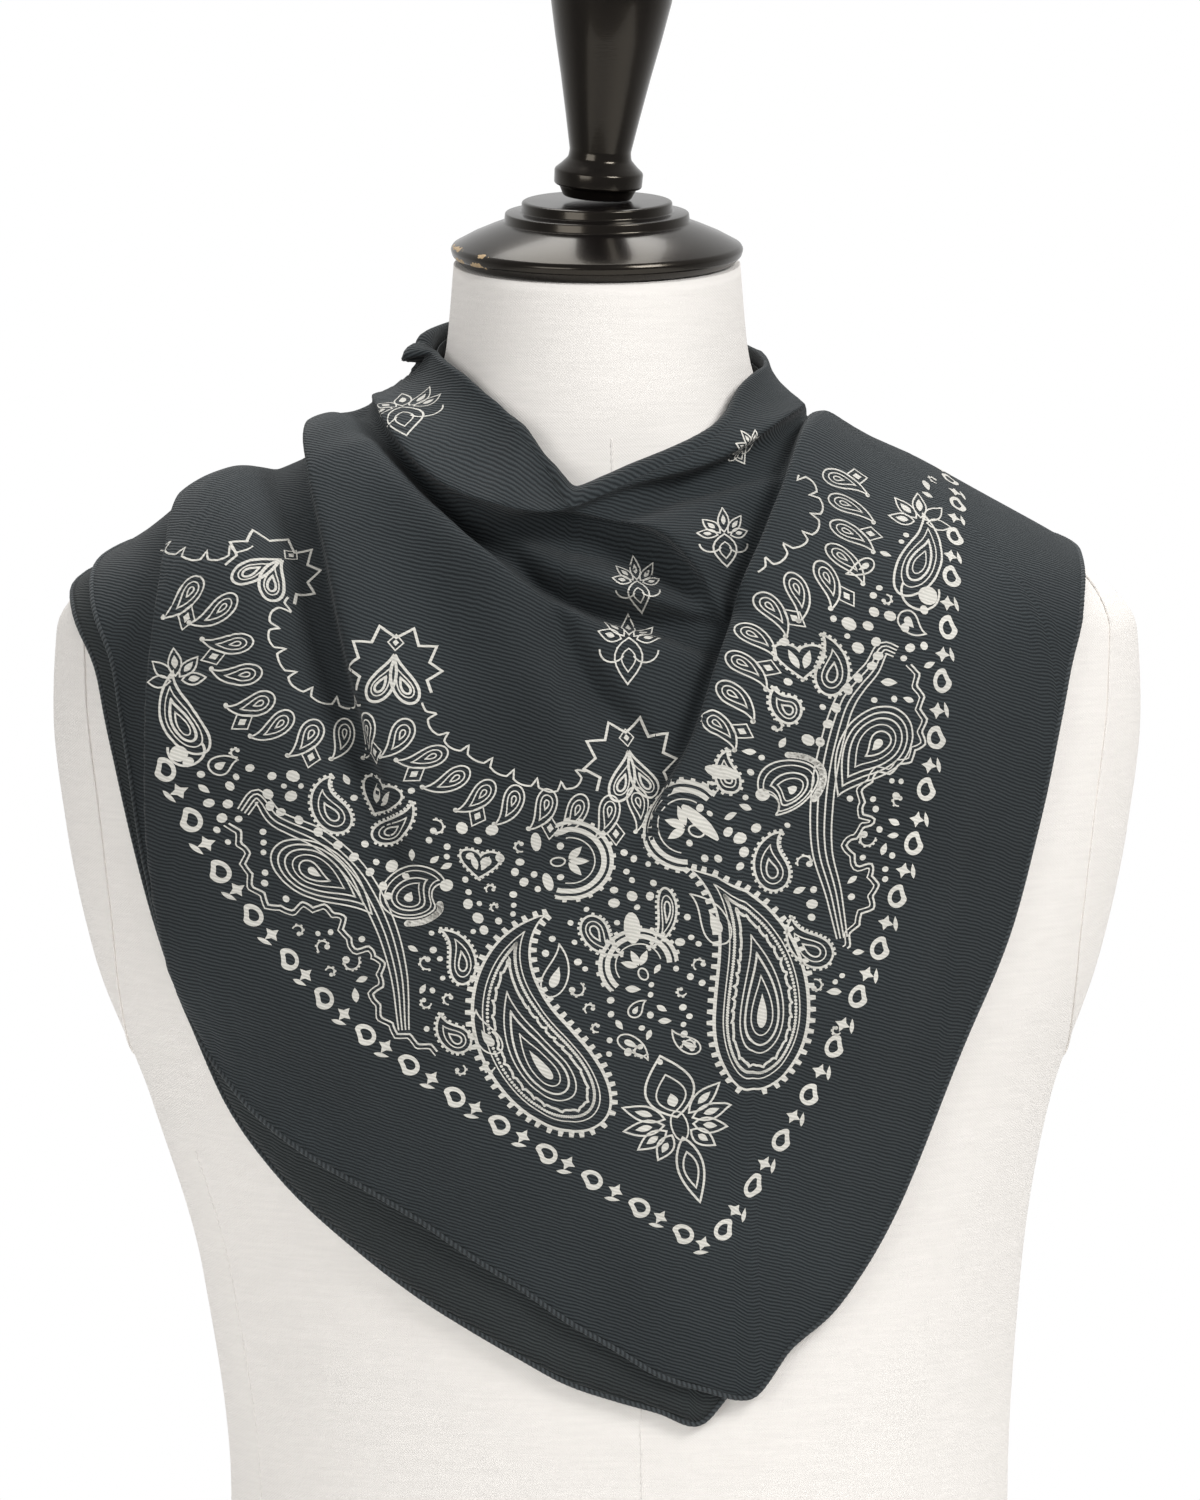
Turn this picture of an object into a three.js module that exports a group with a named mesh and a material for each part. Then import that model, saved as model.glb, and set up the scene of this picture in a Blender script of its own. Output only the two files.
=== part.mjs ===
// A square cotton bandana, folded to a triangle and worn round the neck of a dress form.
// Millimetres, +Z up. The origin is the centre of the form's flat base, and the front faces -Y.
// A place on the form is an angle round it, from the front towards +X, and a run down it
// from the top of the neck. Cloth is a thin wall that stands off the form by a height.
import * as THREE from "three";

const RAD = Math.PI / 180;

// The form, from the neck down: height, half the width, depth to the front and to the back,
// how far its middle sits aside, and the power that squares its outline
const FORM_SECTIONS = [
  { z: 734, half: 59, front: 60, back: 57, aside: 0, power: 2.0 },
  { z: 715, half: 60.5, front: 61, back: 58, aside: 0, power: 2.0 },
  { z: 700, half: 62, front: 62, back: 60, aside: 0, power: 2.0 },
  { z: 688, half: 65, front: 63.5, back: 63, aside: 0, power: 2.0 },
  { z: 675, half: 73, front: 65.5, back: 69, aside: 0, power: 2.0 },
  { z: 663, half: 92, front: 68, back: 77, aside: 0, power: 1.95 },
  { z: 651, half: 119, front: 71, back: 88, aside: 0, power: 1.9 },
  { z: 636, half: 153, front: 76, back: 101, aside: 0, power: 1.95 },
  { z: 619, half: 186, front: 84, back: 110, aside: 0, power: 2.05 },
  { z: 606, half: 207, front: 90, back: 115, aside: 0, power: 2.15 },
  { z: 590, half: 217.5, front: 97, back: 119, aside: 0, power: 2.25 },
  { z: 557, half: 219, front: 109, back: 124, aside: 0, power: 2.35 },
  { z: 510, half: 214, front: 118, back: 126, aside: 0, power: 2.35 },
  { z: 458, half: 203, front: 121, back: 123, aside: 0, power: 2.3 },
  { z: 400, half: 182, front: 117, back: 112, aside: 1.5, power: 2.25 },
  { z: 330, half: 166, front: 109, back: 101, aside: 6, power: 2.2 },
  { z: 240, half: 158, front: 102, back: 95, aside: 9, power: 2.2 },
  { z: 150, half: 166, front: 110, back: 110, aside: 9, power: 2.25 },
  { z: 70, half: 175, front: 116, back: 121, aside: 9, power: 2.3 },
  { z: 0, half: 172, front: 113, back: 117, aside: 9, power: 2.3 },
];
const SECTION_STEPS = 150; // samples down the form that every place is worked out from
const FORM_SIDES = 52;
const FORM_ROWS = { // shares of the way down the form's side
  upper: Array.from({ length: 22 }, (_, i) => (i * 0.3) / 21),
  lower: [0.34, 0.39, 0.45, 0.52, 0.6, 0.7, 0.8, 0.9, 1],
};
const NECK_TILT = 6 * RAD; // the neck's top slopes down to the front
const TILT_FROM = 670; // the slope starts at this height

// Cloth: wall, least room beneath each layer, and grids
const CLOTH = 1.1; // thickness of each wall
const UNDER_OUT = 1.6; // the under layer's outer face above the form's outline
const FRONT_LEAST = 4; // least height of the front layer's outer face
const FORM_INSET = 1.9; // the form's cover lies this far inside the outline that the cloth follows
const UNDER_NECK_DROP = 4; // the under layer starts this far below the folded neck edge
const FRONT_GRID = { along: 60, down: 22 }; // two steps along for each row of the rails
const UNDER_GRID = { along: 60, down: 14 };
const END_GRID = { along: 10, down: 12 };
const DOWN_POWER = 1.5; // crowds the grid's rows towards the neck, where the folds are close

// The front layer's folded neck edge, its hem, and the under layer's hem, which shows past
// it at the left and below: the angle in degrees and the run in millimetres of each. A row's
// places are joined by one line down the cloth, from the left shoulder's to the right one's.
const RAILS = [
  { neckAt: -92, neckRun: 31, hemAt: -90, hemRun: 197, underAt: -90, underRun: 212 },
  { neckAt: -84, neckRun: 32, hemAt: -80, hemRun: 208, underAt: -81, underRun: 219 },
  { neckAt: -77, neckRun: 34, hemAt: -72.8, hemRun: 220, underAt: -75, underRun: 228 },
  { neckAt: -70, neckRun: 36, hemAt: -68.3, hemRun: 248, underAt: -71, underRun: 250 },
  { neckAt: -63, neckRun: 37.5, hemAt: -66, hemRun: 283, underAt: -68, underRun: 280 },
  { neckAt: -56, neckRun: 39.5, hemAt: -64.4, hemRun: 316, underAt: -65.6, underRun: 312 },
  { neckAt: -50, neckRun: 41.5, hemAt: -61.7, hemRun: 347, underAt: -63.4, underRun: 341 },
  { neckAt: -44.5, neckRun: 44.5, hemAt: -57.4, hemRun: 364, underAt: -61.6, underRun: 370 },
  { neckAt: -39, neckRun: 48, hemAt: -50, hemRun: 371, underAt: -55, underRun: 392 },
  { neckAt: -33.6, neckRun: 51.5, hemAt: -42.5, hemRun: 375, underAt: -46, underRun: 405 },
  { neckAt: -28, neckRun: 57, hemAt: -35, hemRun: 381, underAt: -37, underRun: 415 },
  { neckAt: -22, neckRun: 63, hemAt: -27, hemRun: 391, underAt: -29, underRun: 422 },
  { neckAt: -14.5, neckRun: 71, hemAt: -18.5, hemRun: 401, underAt: -20, underRun: 430 },
  { neckAt: -6.7, neckRun: 80, hemAt: -9.2, hemRun: 413, underAt: -10, underRun: 439 },
  { neckAt: 1, neckRun: 76, hemAt: 0.6, hemRun: 424, underAt: 0.6, underRun: 445 },
  { neckAt: 8, neckRun: 72, hemAt: 9, hemRun: 434.5, underAt: 9, underRun: 450 },
  { neckAt: 15, neckRun: 69, hemAt: 18, hemRun: 442, underAt: 16.7, underRun: 456.5 },
  { neckAt: 21, neckRun: 66.5, hemAt: 26.9, hemRun: 448.5, underAt: 24, underRun: 444 },
  { neckAt: 28, neckRun: 63.5, hemAt: 34.5, hemRun: 432, underAt: 34, underRun: 426 },
  { neckAt: 35, neckRun: 60, hemAt: 41, hemRun: 424, underAt: 40.5, underRun: 418 },
  { neckAt: 41, neckRun: 56, hemAt: 46.5, hemRun: 410, underAt: 46, underRun: 404 },
  { neckAt: 47, neckRun: 51, hemAt: 51.2, hemRun: 391, underAt: 50.7, underRun: 385 },
  { neckAt: 53, neckRun: 46.5, hemAt: 54.7, hemRun: 367, underAt: 54.2, underRun: 361 },
  { neckAt: 60, neckRun: 43.5, hemAt: 58, hemRun: 333, underAt: 57.4, underRun: 328 },
  { neckAt: 67, neckRun: 42, hemAt: 61.4, hemRun: 304, underAt: 60.7, underRun: 299 },
  { neckAt: 74, neckRun: 41.5, hemAt: 64.4, hemRun: 268, underAt: 63.6, underRun: 263 },
  { neckAt: 80, neckRun: 41.5, hemAt: 68.6, hemRun: 231, underAt: 67.6, underRun: 227 },
  { neckAt: 83, neckRun: 41.5, hemAt: 72.4, hemRun: 214, underAt: 71.7, underRun: 210.5 },
  { neckAt: 86.5, neckRun: 41.5, hemAt: 77.5, hemRun: 201.5, underAt: 77, underRun: 197.5 },
  { neckAt: 90, neckRun: 41.3, hemAt: 84, hemRun: 194.5, underAt: 83.8, underRun: 190.5 },
  { neckAt: 93, neckRun: 41, hemAt: 90, hemRun: 191, underAt: 90, underRun: 187 },
];
// The two ends, from each shoulder round to the knot at the nape
const LEFT_END_RAILS = [
  { neckAt: -92.5, neckRun: 31, hemAt: -90.25, hemRun: 196.7 },
  { neckAt: -110, neckRun: 29, hemAt: -104, hemRun: 178 },
  { neckAt: -128, neckRun: 28, hemAt: -121, hemRun: 147 },
  { neckAt: -146, neckRun: 29, hemAt: -141, hemRun: 110 },
  { neckAt: -160, neckRun: 33, hemAt: -158, hemRun: 82 },
  { neckAt: -167, neckRun: 37, hemAt: -167, hemRun: 70 },
];
const RIGHT_END_RAILS = [
  { neckAt: 167, neckRun: 38, hemAt: 167, hemRun: 71 },
  { neckAt: 160, neckRun: 35, hemAt: 158, hemRun: 83 },
  { neckAt: 146, neckRun: 33, hemAt: 141, hemRun: 109 },
  { neckAt: 128, neckRun: 36, hemAt: 121, hemRun: 144 },
  { neckAt: 110, neckRun: 39, hemAt: 104, hemRun: 173 },
  { neckAt: 93.5, neckRun: 41, hemAt: 90.25, hemRun: 190.7 },
];
// How far the wrap stands off the form between folds, by angle: at the neck edge,
// on the roll below it, on the chest or shoulder, lower down and at the hem
const STAND_OFF = [
  { at: -180, edge: 12, roll: 13, chest: 12, low: 10, hem: 9 },
  { at: -150, edge: 6, roll: 9, chest: 9, low: 8, hem: 5 },
  { at: -120, edge: 5, roll: 8, chest: 10, low: 8, hem: 4 },
  { at: -90, edge: 6, roll: 10, chest: 12, low: 8, hem: 3.4 },
  { at: -45, edge: 6, roll: 11, chest: 13, low: 10, hem: 3.6 },
  { at: 0, edge: 10, roll: 15, chest: 14, low: 10, hem: 3.8 },
  { at: 45, edge: 6, roll: 10, chest: 8, low: 6.5, hem: 3.6 },
  { at: 90, edge: 5, roll: 6.5, chest: 5, low: 5, hem: 4.6 },
  { at: 120, edge: 5, roll: 7, chest: 7, low: 6, hem: 4 },
  { at: 150, edge: 6, roll: 9, chest: 9, low: 8, hem: 5 },
  { at: 180, edge: 12, roll: 13, chest: 12, low: 10, hem: 9 },
];
const STAND_OFF_DOWN = { edge: 0, roll: 0.12, chest: 0.3, low: 0.6, hem: 1 }; // share of the way

// Folds: each runs along places seen square from the front (or the back), x and z in
// millimetres, rises or sinks by rise, and dies away over left and right, the two sides
// of someone who walks along it
const FOLDS = [
  { name: "neck roll", from: "front", left: 13, right: 8, line: [
    { x: -78, z: 672, rise: 3 }, { x: -62, z: 657, rise: 6 }, { x: -43, z: 646, rise: 8 },
    { x: -26, z: 645, rise: 8 }, { x: -9, z: 648, rise: 7 }, { x: 9, z: 653, rise: 7 },
    { x: 35, z: 658, rise: 7 }, { x: 56, z: 668, rise: 6 }, { x: 77, z: 673, rise: 2 } ] },
  { name: "hollow under the right of the roll", from: "front", left: 6, right: 7, line: [
    { x: 82, z: 664, rise: -4 }, { x: 66, z: 657, rise: -7 }, { x: 48, z: 651, rise: -7 },
    { x: 36, z: 646, rise: -3 } ] },
  { name: "second fold of the cowl", from: "front", left: 7, right: 6, line: [
    { x: -22, z: 637, rise: 2 }, { x: -9, z: 635, rise: 4 }, { x: 17, z: 633, rise: 6 },
    { x: 41, z: 627, rise: 6 }, { x: 57, z: 611, rise: 3 } ] },
  { name: "hollow of the cowl", from: "front", left: 6, right: 6, line: [
    { x: -26, z: 627, rise: -5 }, { x: -9, z: 624, rise: -7 }, { x: 17, z: 617, rise: -7 },
    { x: 37, z: 612, rise: -7 }, { x: 50, z: 606, rise: -4 } ] },
  { name: "third fold of the cowl", from: "front", left: 5, right: 5, line: [
    { x: -18, z: 619, rise: 1 }, { x: 1, z: 614, rise: 4 }, { x: 25, z: 604, rise: 5 },
    { x: 52, z: 600, rise: 2 } ] },
  { name: "crease round the cowl", from: "front", left: 9, right: 6, line: [
    { x: -88, z: 668, rise: -5 }, { x: -66, z: 647, rise: -9 }, { x: -38, z: 626, rise: -10 },
    { x: -19, z: 610, rise: -8 }, { x: 1, z: 603, rise: -7 }, { x: 21, z: 597, rise: -6 },
    { x: 41, z: 594, rise: -6 }, { x: 58, z: 595, rise: -3 } ] },
  { name: "lip of the chest under the crease", from: "front", left: 5, right: 18, line: [
    { x: -86, z: 660, rise: 3 }, { x: -69, z: 637, rise: 5 }, { x: -41, z: 615, rise: 6 },
    { x: -21, z: 600, rise: 5 }, { x: 2, z: 593, rise: 3 }, { x: 24, z: 588, rise: 1 } ] },
  { name: "ridge from the left shoulder", from: "front", left: 16, right: 8, line: [
    { x: -113, z: 654, rise: 7 }, { x: -100, z: 641, rise: 8 }, { x: -92, z: 620, rise: 7 },
    { x: -86, z: 600, rise: 5 }, { x: -80, z: 575, rise: 2 }, { x: -72, z: 548, rise: 0.5 } ] },
  { name: "trough beside that ridge", from: "front", left: 6, right: 13, line: [
    { x: -121, z: 648, rise: -3 }, { x: -103, z: 622, rise: -6 }, { x: -96, z: 592, rise: -7 },
    { x: -91, z: 562, rise: -6 }, { x: -82, z: 538, rise: -4 }, { x: -66, z: 468, rise: -1.5 } ] },
  { name: "broad swell over the left chest", from: "front", left: 24, right: 26, line: [
    { x: -92, z: 655, rise: 2 }, { x: -76, z: 632, rise: 5 }, { x: -55, z: 602, rise: 6 },
    { x: -32, z: 575, rise: 5 }, { x: -8, z: 540, rise: 3 }, { x: 6, z: 500, rise: 1.5 } ] },
  { name: "crease to the middle", from: "front", left: 7, right: 14, line: [
    { x: -16, z: 598, rise: -2 }, { x: -6, z: 582, rise: -5 }, { x: 4, z: 568, rise: -5 },
    { x: 17, z: 551, rise: -2 } ] },
  { name: "edge of the right side, lying over", from: "front", left: 30, right: 6, line: [
    { x: 88, z: 669, rise: 2 }, { x: 80, z: 663, rise: 5 }, { x: 77, z: 652, rise: 7 },
    { x: 74, z: 640, rise: 8 }, { x: 68, z: 620, rise: 8 }, { x: 63, z: 605, rise: 8 },
    { x: 58, z: 589, rise: 7 }, { x: 46, z: 562, rise: 6 }, { x: 39, z: 546, rise: 5 },
    { x: 24, z: 521, rise: 3 }, { x: 20, z: 508, rise: 1 } ] },
  { name: "folded edge at the left", from: "front", left: 34, right: 5, line: [
    { x: -170, z: 626, rise: 2 }, { x: -174, z: 598, rise: 6 }, { x: -176, z: 550, rise: 8 },
    { x: -175, z: 511, rise: 8 }, { x: -171, z: 467, rise: 7 }, { x: -164, z: 447, rise: 4 },
    { x: -157, z: 430, rise: 1 } ] },
  { name: "swell along the right shoulder", from: "front", left: 22, right: 16, line: [
    { x: 118, z: 651, rise: 2 }, { x: 120, z: 615, rise: 3 }, { x: 108, z: 560, rise: 3 },
    { x: 84, z: 500, rise: 2 } ] },
  { name: "soft trough above the tip", from: "front", left: 20, right: 20, line: [
    { x: 14, z: 500, rise: -1 }, { x: 26, z: 470, rise: -3 }, { x: 38, z: 430, rise: -2 } ] },
  { name: "upper fold to the knot, left", from: "back", left: 8, right: 8, line: [
    { x: -22, z: 680, rise: 5 }, { x: -48, z: 678, rise: 5 }, { x: -74, z: 668, rise: 3 },
    { x: -96, z: 658, rise: 1 } ] },
  { name: "lower fold to the knot, left", from: "back", left: 9, right: 9, line: [
    { x: -22, z: 668, rise: 5 }, { x: -54, z: 654, rise: 6 }, { x: -94, z: 646, rise: 4 },
    { x: -128, z: 638, rise: 2 } ] },
  { name: "upper fold to the knot, right", from: "back", left: 7, right: 9, line: [
    { x: 22, z: 678, rise: 4 }, { x: 50, z: 674, rise: 6 }, { x: 80, z: 662, rise: 3 } ] },
  { name: "lower fold to the knot, right", from: "back", left: 9, right: 9, line: [
    { x: 22, z: 666, rise: 5 }, { x: 58, z: 652, rise: 5 }, { x: 100, z: 644, rise: 3 },
    { x: 124, z: 638, rise: 1 } ] },
];
const FOLD_SAMPLES = 8; // points along each stretch of a fold's line
const FOLD_SOFTNESS = 6; // widens the narrow folds to what the walls' grid can follow
const FOLD_END = 9; // how far a fold dies away past the ends of its line

// The knot at the nape and the two tails that hang from it. A tail's middle line goes from
// one place aside to another, and its gap is the run between the knot's height and its top.
const KNOT = { run: 53, stand: 12.5, halfWidth: 16.8, halfHeight: 16, halfDepth: 9.5, groove: 0.13 };
const TAILS = [
  { name: "left_tail", from: -5.5, to: -13, length: 104, stand: 5.6, gap: -0.6 },
  { name: "right_tail", from: 5.5, to: 15, length: 97, stand: 9.6, gap: 2.2 },
];
const TAIL_WIDTHS = [ // share of the length, half the width
  { down: 0, half: 7 },
  { down: 0.2, half: 15 },
  { down: 0.45, half: 20 },
  { down: 0.75, half: 12 },
  { down: 1, half: 1.2 },
];
const TAIL_WAVE = 1.2; // height of the soft wave across a tail
const TAIL_GRID = { along: 6, down: 11 };

// The turned wooden cap and finial on the neck: radius and height above the neck's top
const CAP_PROFILE = [
  { r: 54.5, h: 0.4 }, { r: 57.6, h: 3.4 }, { r: 58.3, h: 6 }, { r: 57.4, h: 7.6 },
  { r: 50, h: 11.6 }, { r: 43, h: 14.6 }, { r: 38.2, h: 16.4 }, { r: 37, h: 16.8 },
  { r: 36.6, h: 20.4 }, { r: 31, h: 20.8 }, { r: 30, h: 21.2 }, { r: 30, h: 24.6 },
  { r: 28.8, h: 25.2 },
];
const FINIAL_PROFILE = [
  { r: 13.5, h: 0.4 }, { r: 15.4, h: 4.4 }, { r: 17.5, h: 5.2 }, { r: 17.7, h: 11 },
  { r: 15.2, h: 13.2 }, { r: 12.6, h: 16 }, { r: 12.2, h: 19 }, { r: 14.8, h: 33 },
  { r: 17.9, h: 49 }, { r: 21.3, h: 65 }, { r: 24.2, h: 80 }, { r: 25.2, h: 92 },
  { r: 23.4, h: 102 }, { r: 17, h: 109.5 }, { r: 8, h: 113 },
];
const FINIAL_LEAN = 4 * RAD; // the finial leans to the right
const TURNED_SIDES = 32;

// A smooth curve through a table's points that never overshoots them
function smoothTable(knots, values) {
  const last = knots.length - 1;
  const slopes = [];
  for (let i = 0; i < last; i++) slopes.push((values[i + 1] - values[i]) / (knots[i + 1] - knots[i]));
  const tangents = values.map((_, i) => {
    if (i === 0 || i === last) return slopes[Math.min(i, last - 1)];
    const [before, after] = [slopes[i - 1], slopes[i]];
    return before * after <= 0 ? 0 : (2 * before * after) / (before + after);
  });
  return (x) => {
    const at = THREE.MathUtils.clamp(x, knots[0], knots[last]);
    let i = 0;
    while (i < last - 1 && at > knots[i + 1]) i++;
    const width = knots[i + 1] - knots[i];
    const t = (at - knots[i]) / width;
    const bend = t * (1 - t) * width;
    const ease = t * t * (3 - 2 * t);
    return values[i] + ease * (values[i + 1] - values[i]) +
      bend * ((1 - t) * tangents[i] - t * tangents[i + 1]);
  };
}

function tableOf(rows, key) {
  const columns = Object.keys(rows[0]).filter((name) => name !== key);
  const curves = columns.map((name) => smoothTable(rows.map((row) => row[key]), rows.map((row) => row[name])));
  return (x) => Object.fromEntries(columns.map((name, i) => [name, curves[i](x)]));
}

// Sections down the form, evenly spaced along its side
const reach = [0];
for (let i = 1; i < FORM_SECTIONS.length; i++) {
  const [upper, lower] = [FORM_SECTIONS[i - 1], FORM_SECTIONS[i]];
  reach.push(reach[i - 1] + Math.hypot(lower.z - upper.z, lower.half - upper.half));
}
const sectionAt = tableOf(FORM_SECTIONS.map((row, i) => ({ ...row, reach: reach[i] })), "reach");
const SECTIONS = Array.from({ length: SECTION_STEPS + 1 }, (_, i) =>
  sectionAt((reach[reach.length - 1] * i) / SECTION_STEPS));

function outlineRadius(angle, row) {
  const depth = Math.cos(angle) > 0 ? row.front : row.back;
  const across = Math.abs(Math.sin(angle) / row.half) ** row.power;
  const along = Math.abs(Math.cos(angle) / depth) ** row.power;
  return (across + along) ** (-1 / row.power);
}

// The form's line down from the neck at one angle, and the run to each of its points
function lineDown(angle) {
  const points = SECTIONS.map((row) => {
    const radius = outlineRadius(angle, row);
    const y = -radius * Math.cos(angle);
    const slope = Math.tan(NECK_TILT) * THREE.MathUtils.smoothstep(row.z, TILT_FROM, SECTIONS[0].z);
    return new THREE.Vector3(row.aside + radius * Math.sin(angle), y, row.z + y * slope);
  });
  const runs = [0];
  for (let i = 1; i < points.length; i++) {
    runs.push(runs[i - 1] + points[i].distanceTo(points[i - 1]));
  }
  return { points, runs };
}

function formPoint(angle, run) {
  const { points, runs } = lineDown(angle);
  let i = 0;
  while (i < runs.length - 2 && run > runs[i + 1]) i++;
  const t = (run - runs[i]) / (runs[i + 1] - runs[i]);
  return points[i].clone().lerp(points[i + 1], t);
}

function formNormal(angle, run) {
  const [turn, step] = [1.5 * RAD, 3];
  const round = formPoint(angle + turn, run).sub(formPoint(angle - turn, run));
  const down = formPoint(angle, run + step).sub(formPoint(angle, run - step));
  return down.cross(round).normalize();
}

// The place on the form's front or back that is seen at x and z
function seenOnForm(x, z, from) {
  const row = SECTIONS.reduce((best, next) => (Math.abs(next.z - z) < Math.abs(best.z - z) ? next : best));
  const share = Math.min(Math.abs(x - row.aside) / row.half, 1);
  const depth = from === "front" ? -row.front : row.back;
  return new THREE.Vector3(x, depth * (1 - share ** row.power) ** (1 / row.power), row.z);
}

const foldLines = FOLDS.map((fold) => {
  const curve = new THREE.CatmullRomCurve3(fold.line.map((row) => seenOnForm(row.x, row.z, fold.from)));
  const stretches = fold.line.length - 1;
  const rises = smoothTable(fold.line.map((_, i) => i / stretches), fold.line.map((row) => row.rise));
  const count = stretches * FOLD_SAMPLES;
  const samples = Array.from({ length: count + 1 }, (_, i) => ({
    point: curve.getPoint(i / count),
    heading: curve.getTangent(i / count),
    rise: rises(i / count),
  }));
  return { ...fold, samples };
});

// The height that all folds together add at a place on the form
function foldHeight(place, normal) {
  let height = 0;
  for (const fold of foldLines) {
    let nearest = fold.samples[0];
    for (const sample of fold.samples) {
      if (sample.point.distanceToSquared(place) < nearest.point.distanceToSquared(place)) nearest = sample;
    }
    const offset = place.clone().sub(nearest.point);
    const leftward = normal.clone().cross(nearest.heading).normalize().dot(offset);
    const onward = nearest.heading.dot(offset);
    const spread = Math.hypot(leftward > 0 ? fold.left : fold.right, FOLD_SOFTNESS);
    height += nearest.rise * Math.exp(-((leftward / spread) ** 2) - (onward / FOLD_END) ** 2);
  }
  return height;
}

const standOffAt = tableOf(STAND_OFF, "at");
const STAND_OFF_KEYS = Object.keys(STAND_OFF_DOWN);

function wrapHeight(angle, run, down) {
  const row = standOffAt(angle / RAD);
  const plain = smoothTable(Object.values(STAND_OFF_DOWN), STAND_OFF_KEYS.map((key) => row[key]))(down);
  const near = formPoint(angle, run);
  const spare = plain + foldHeight(near, formNormal(angle, run)) - FRONT_LEAST;
  return FRONT_LEAST + 0.5 * (spare + Math.hypot(spare, 1.2)) - 0.3;
}

// A closed wall between two grids of points, the outer and the inner one
function clothWall(name, outer, inner, material) {
  const [rows, columns] = [outer.length, outer[0].length];
  const positions = [...outer.flat(), ...inner.flat()].flatMap((p) => [p.x, p.y, p.z]);
  const inside = rows * columns;
  const faces = [];
  const quad = (a, b, c, d) => faces.push(a, b, c, a, c, d);
  for (let i = 0; i < rows - 1; i++) {
    for (let j = 0; j < columns - 1; j++) {
      const [a, b, c, d] = [i * columns + j, i * columns + j + 1, (i + 1) * columns + j + 1, (i + 1) * columns + j];
      quad(a, b, c, d);
      quad(inside + d, inside + c, inside + b, inside + a);
    }
  }
  for (let j = 0; j < columns - 1; j++) {
    const end = (rows - 1) * columns + j;
    quad(j + 1, j, inside + j, inside + j + 1);
    quad(end, end + 1, inside + end + 1, inside + end);
  }
  for (let i = 0; i < rows - 1; i++) {
    const [near, far] = [i * columns, i * columns + columns - 1];
    quad(near, near + columns, inside + near + columns, inside + near);
    quad(far + columns, far, inside + far, inside + far + columns);
  }
  return solid(name, positions, faces, material);
}

function solid(name, positions, faces, material) {
  const geometry = new THREE.BufferGeometry();
  geometry.setAttribute("position", new THREE.Float32BufferAttribute(positions, 3));
  geometry.setIndex(faces);
  const mesh = new THREE.Mesh(geometry, material);
  mesh.name = name;
  return mesh;
}

// A stretch of cloth between two rails, with the height of its outer face given by heightOf
function clothStretch(name, rails, grid, heightOf, material) {
  const railAt = tableOf(rails.map((row, i) => ({ ...row, i })), "i");
  const [outer, inner] = [[], []];
  for (let i = 0; i <= grid.along; i++) {
    const rail = railAt((i / grid.along) * (rails.length - 1));
    const [outerRow, innerRow] = [[], []];
    for (let j = 0; j <= grid.down; j++) {
      const down = (j / grid.down) ** DOWN_POWER;
      const angle = THREE.MathUtils.lerp(rail.neckAt, rail.hemAt, down) * RAD;
      const run = THREE.MathUtils.lerp(rail.neckRun, rail.hemRun, down);
      const [place, normal] = [formPoint(angle, run), formNormal(angle, run)];
      const height = heightOf(angle, run, down);
      outerRow.push(place.clone().addScaledVector(normal, height));
      innerRow.push(place.clone().addScaledVector(normal, height - CLOTH));
    }
    outer.push(outerRow);
    inner.push(innerRow);
  }
  return clothWall(name, outer, inner, material);
}

// The form's cover as one closed solid, with its rows close where the shoulders turn
function formBody(material) {
  const rows = [...FORM_ROWS.upper, ...FORM_ROWS.lower].map((share) => Math.round(share * SECTION_STEPS));
  const lines = Array.from({ length: FORM_SIDES }, (_, i) => (i / FORM_SIDES) * 2 * Math.PI).map((angle) => {
    const { points, runs } = lineDown(angle);
    return rows.map((row) => {
      const inset = row === 0 || row === SECTION_STEPS ? 0 : FORM_INSET;
      return points[row].clone().addScaledVector(formNormal(angle, runs[row]), -inset);
    });
  });
  const positions = rows.flatMap((_, j) => lines.flatMap((line) => line[j].toArray()));
  const faces = [];
  for (let j = 0; j < rows.length - 1; j++) {
    for (let i = 0; i < FORM_SIDES; i++) {
      const [a, b] = [j * FORM_SIDES + i, j * FORM_SIDES + ((i + 1) % FORM_SIDES)];
      faces.push(a, a + FORM_SIDES, b + FORM_SIDES, a, b + FORM_SIDES, b);
    }
  }
  const bottom = (rows.length - 1) * FORM_SIDES;
  for (let i = 1; i < FORM_SIDES - 1; i++) {
    faces.push(0, i, i + 1);
    faces.push(bottom, bottom + i + 1, bottom + i);
  }
  return solid("form_body", positions, faces, material);
}

// A turned solid from its profile, closed on its axis
function turned(name, profile, material) {
  const points = profile.map((row) => new THREE.Vector2(row.r, row.h));
  points.unshift(new THREE.Vector2(0, profile[0].h));
  points.push(new THREE.Vector2(0, profile[profile.length - 1].h));
  const mesh = new THREE.Mesh(new THREE.LatheGeometry(points, TURNED_SIDES).rotateX(Math.PI / 2), material);
  mesh.name = name;
  return mesh;
}

// The cap sits on the sloped top of the neck, and the finial stands leaning on the cap
function neckTop(material) {
  const top = new THREE.Group();
  top.position.z = SECTIONS[0].z;
  top.rotation.x = NECK_TILT;
  const finial = turned("finial", FINIAL_PROFILE, material);
  const capTop = CAP_PROFILE[CAP_PROFILE.length - 1].h;
  finial.position.z = capTop + Math.sin(FINIAL_LEAN) * FINIAL_PROFILE[0].r;
  finial.rotation.y = FINIAL_LEAN;
  top.add(turned("neck_cap", CAP_PROFILE, material), finial);
  return top;
}

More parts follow.
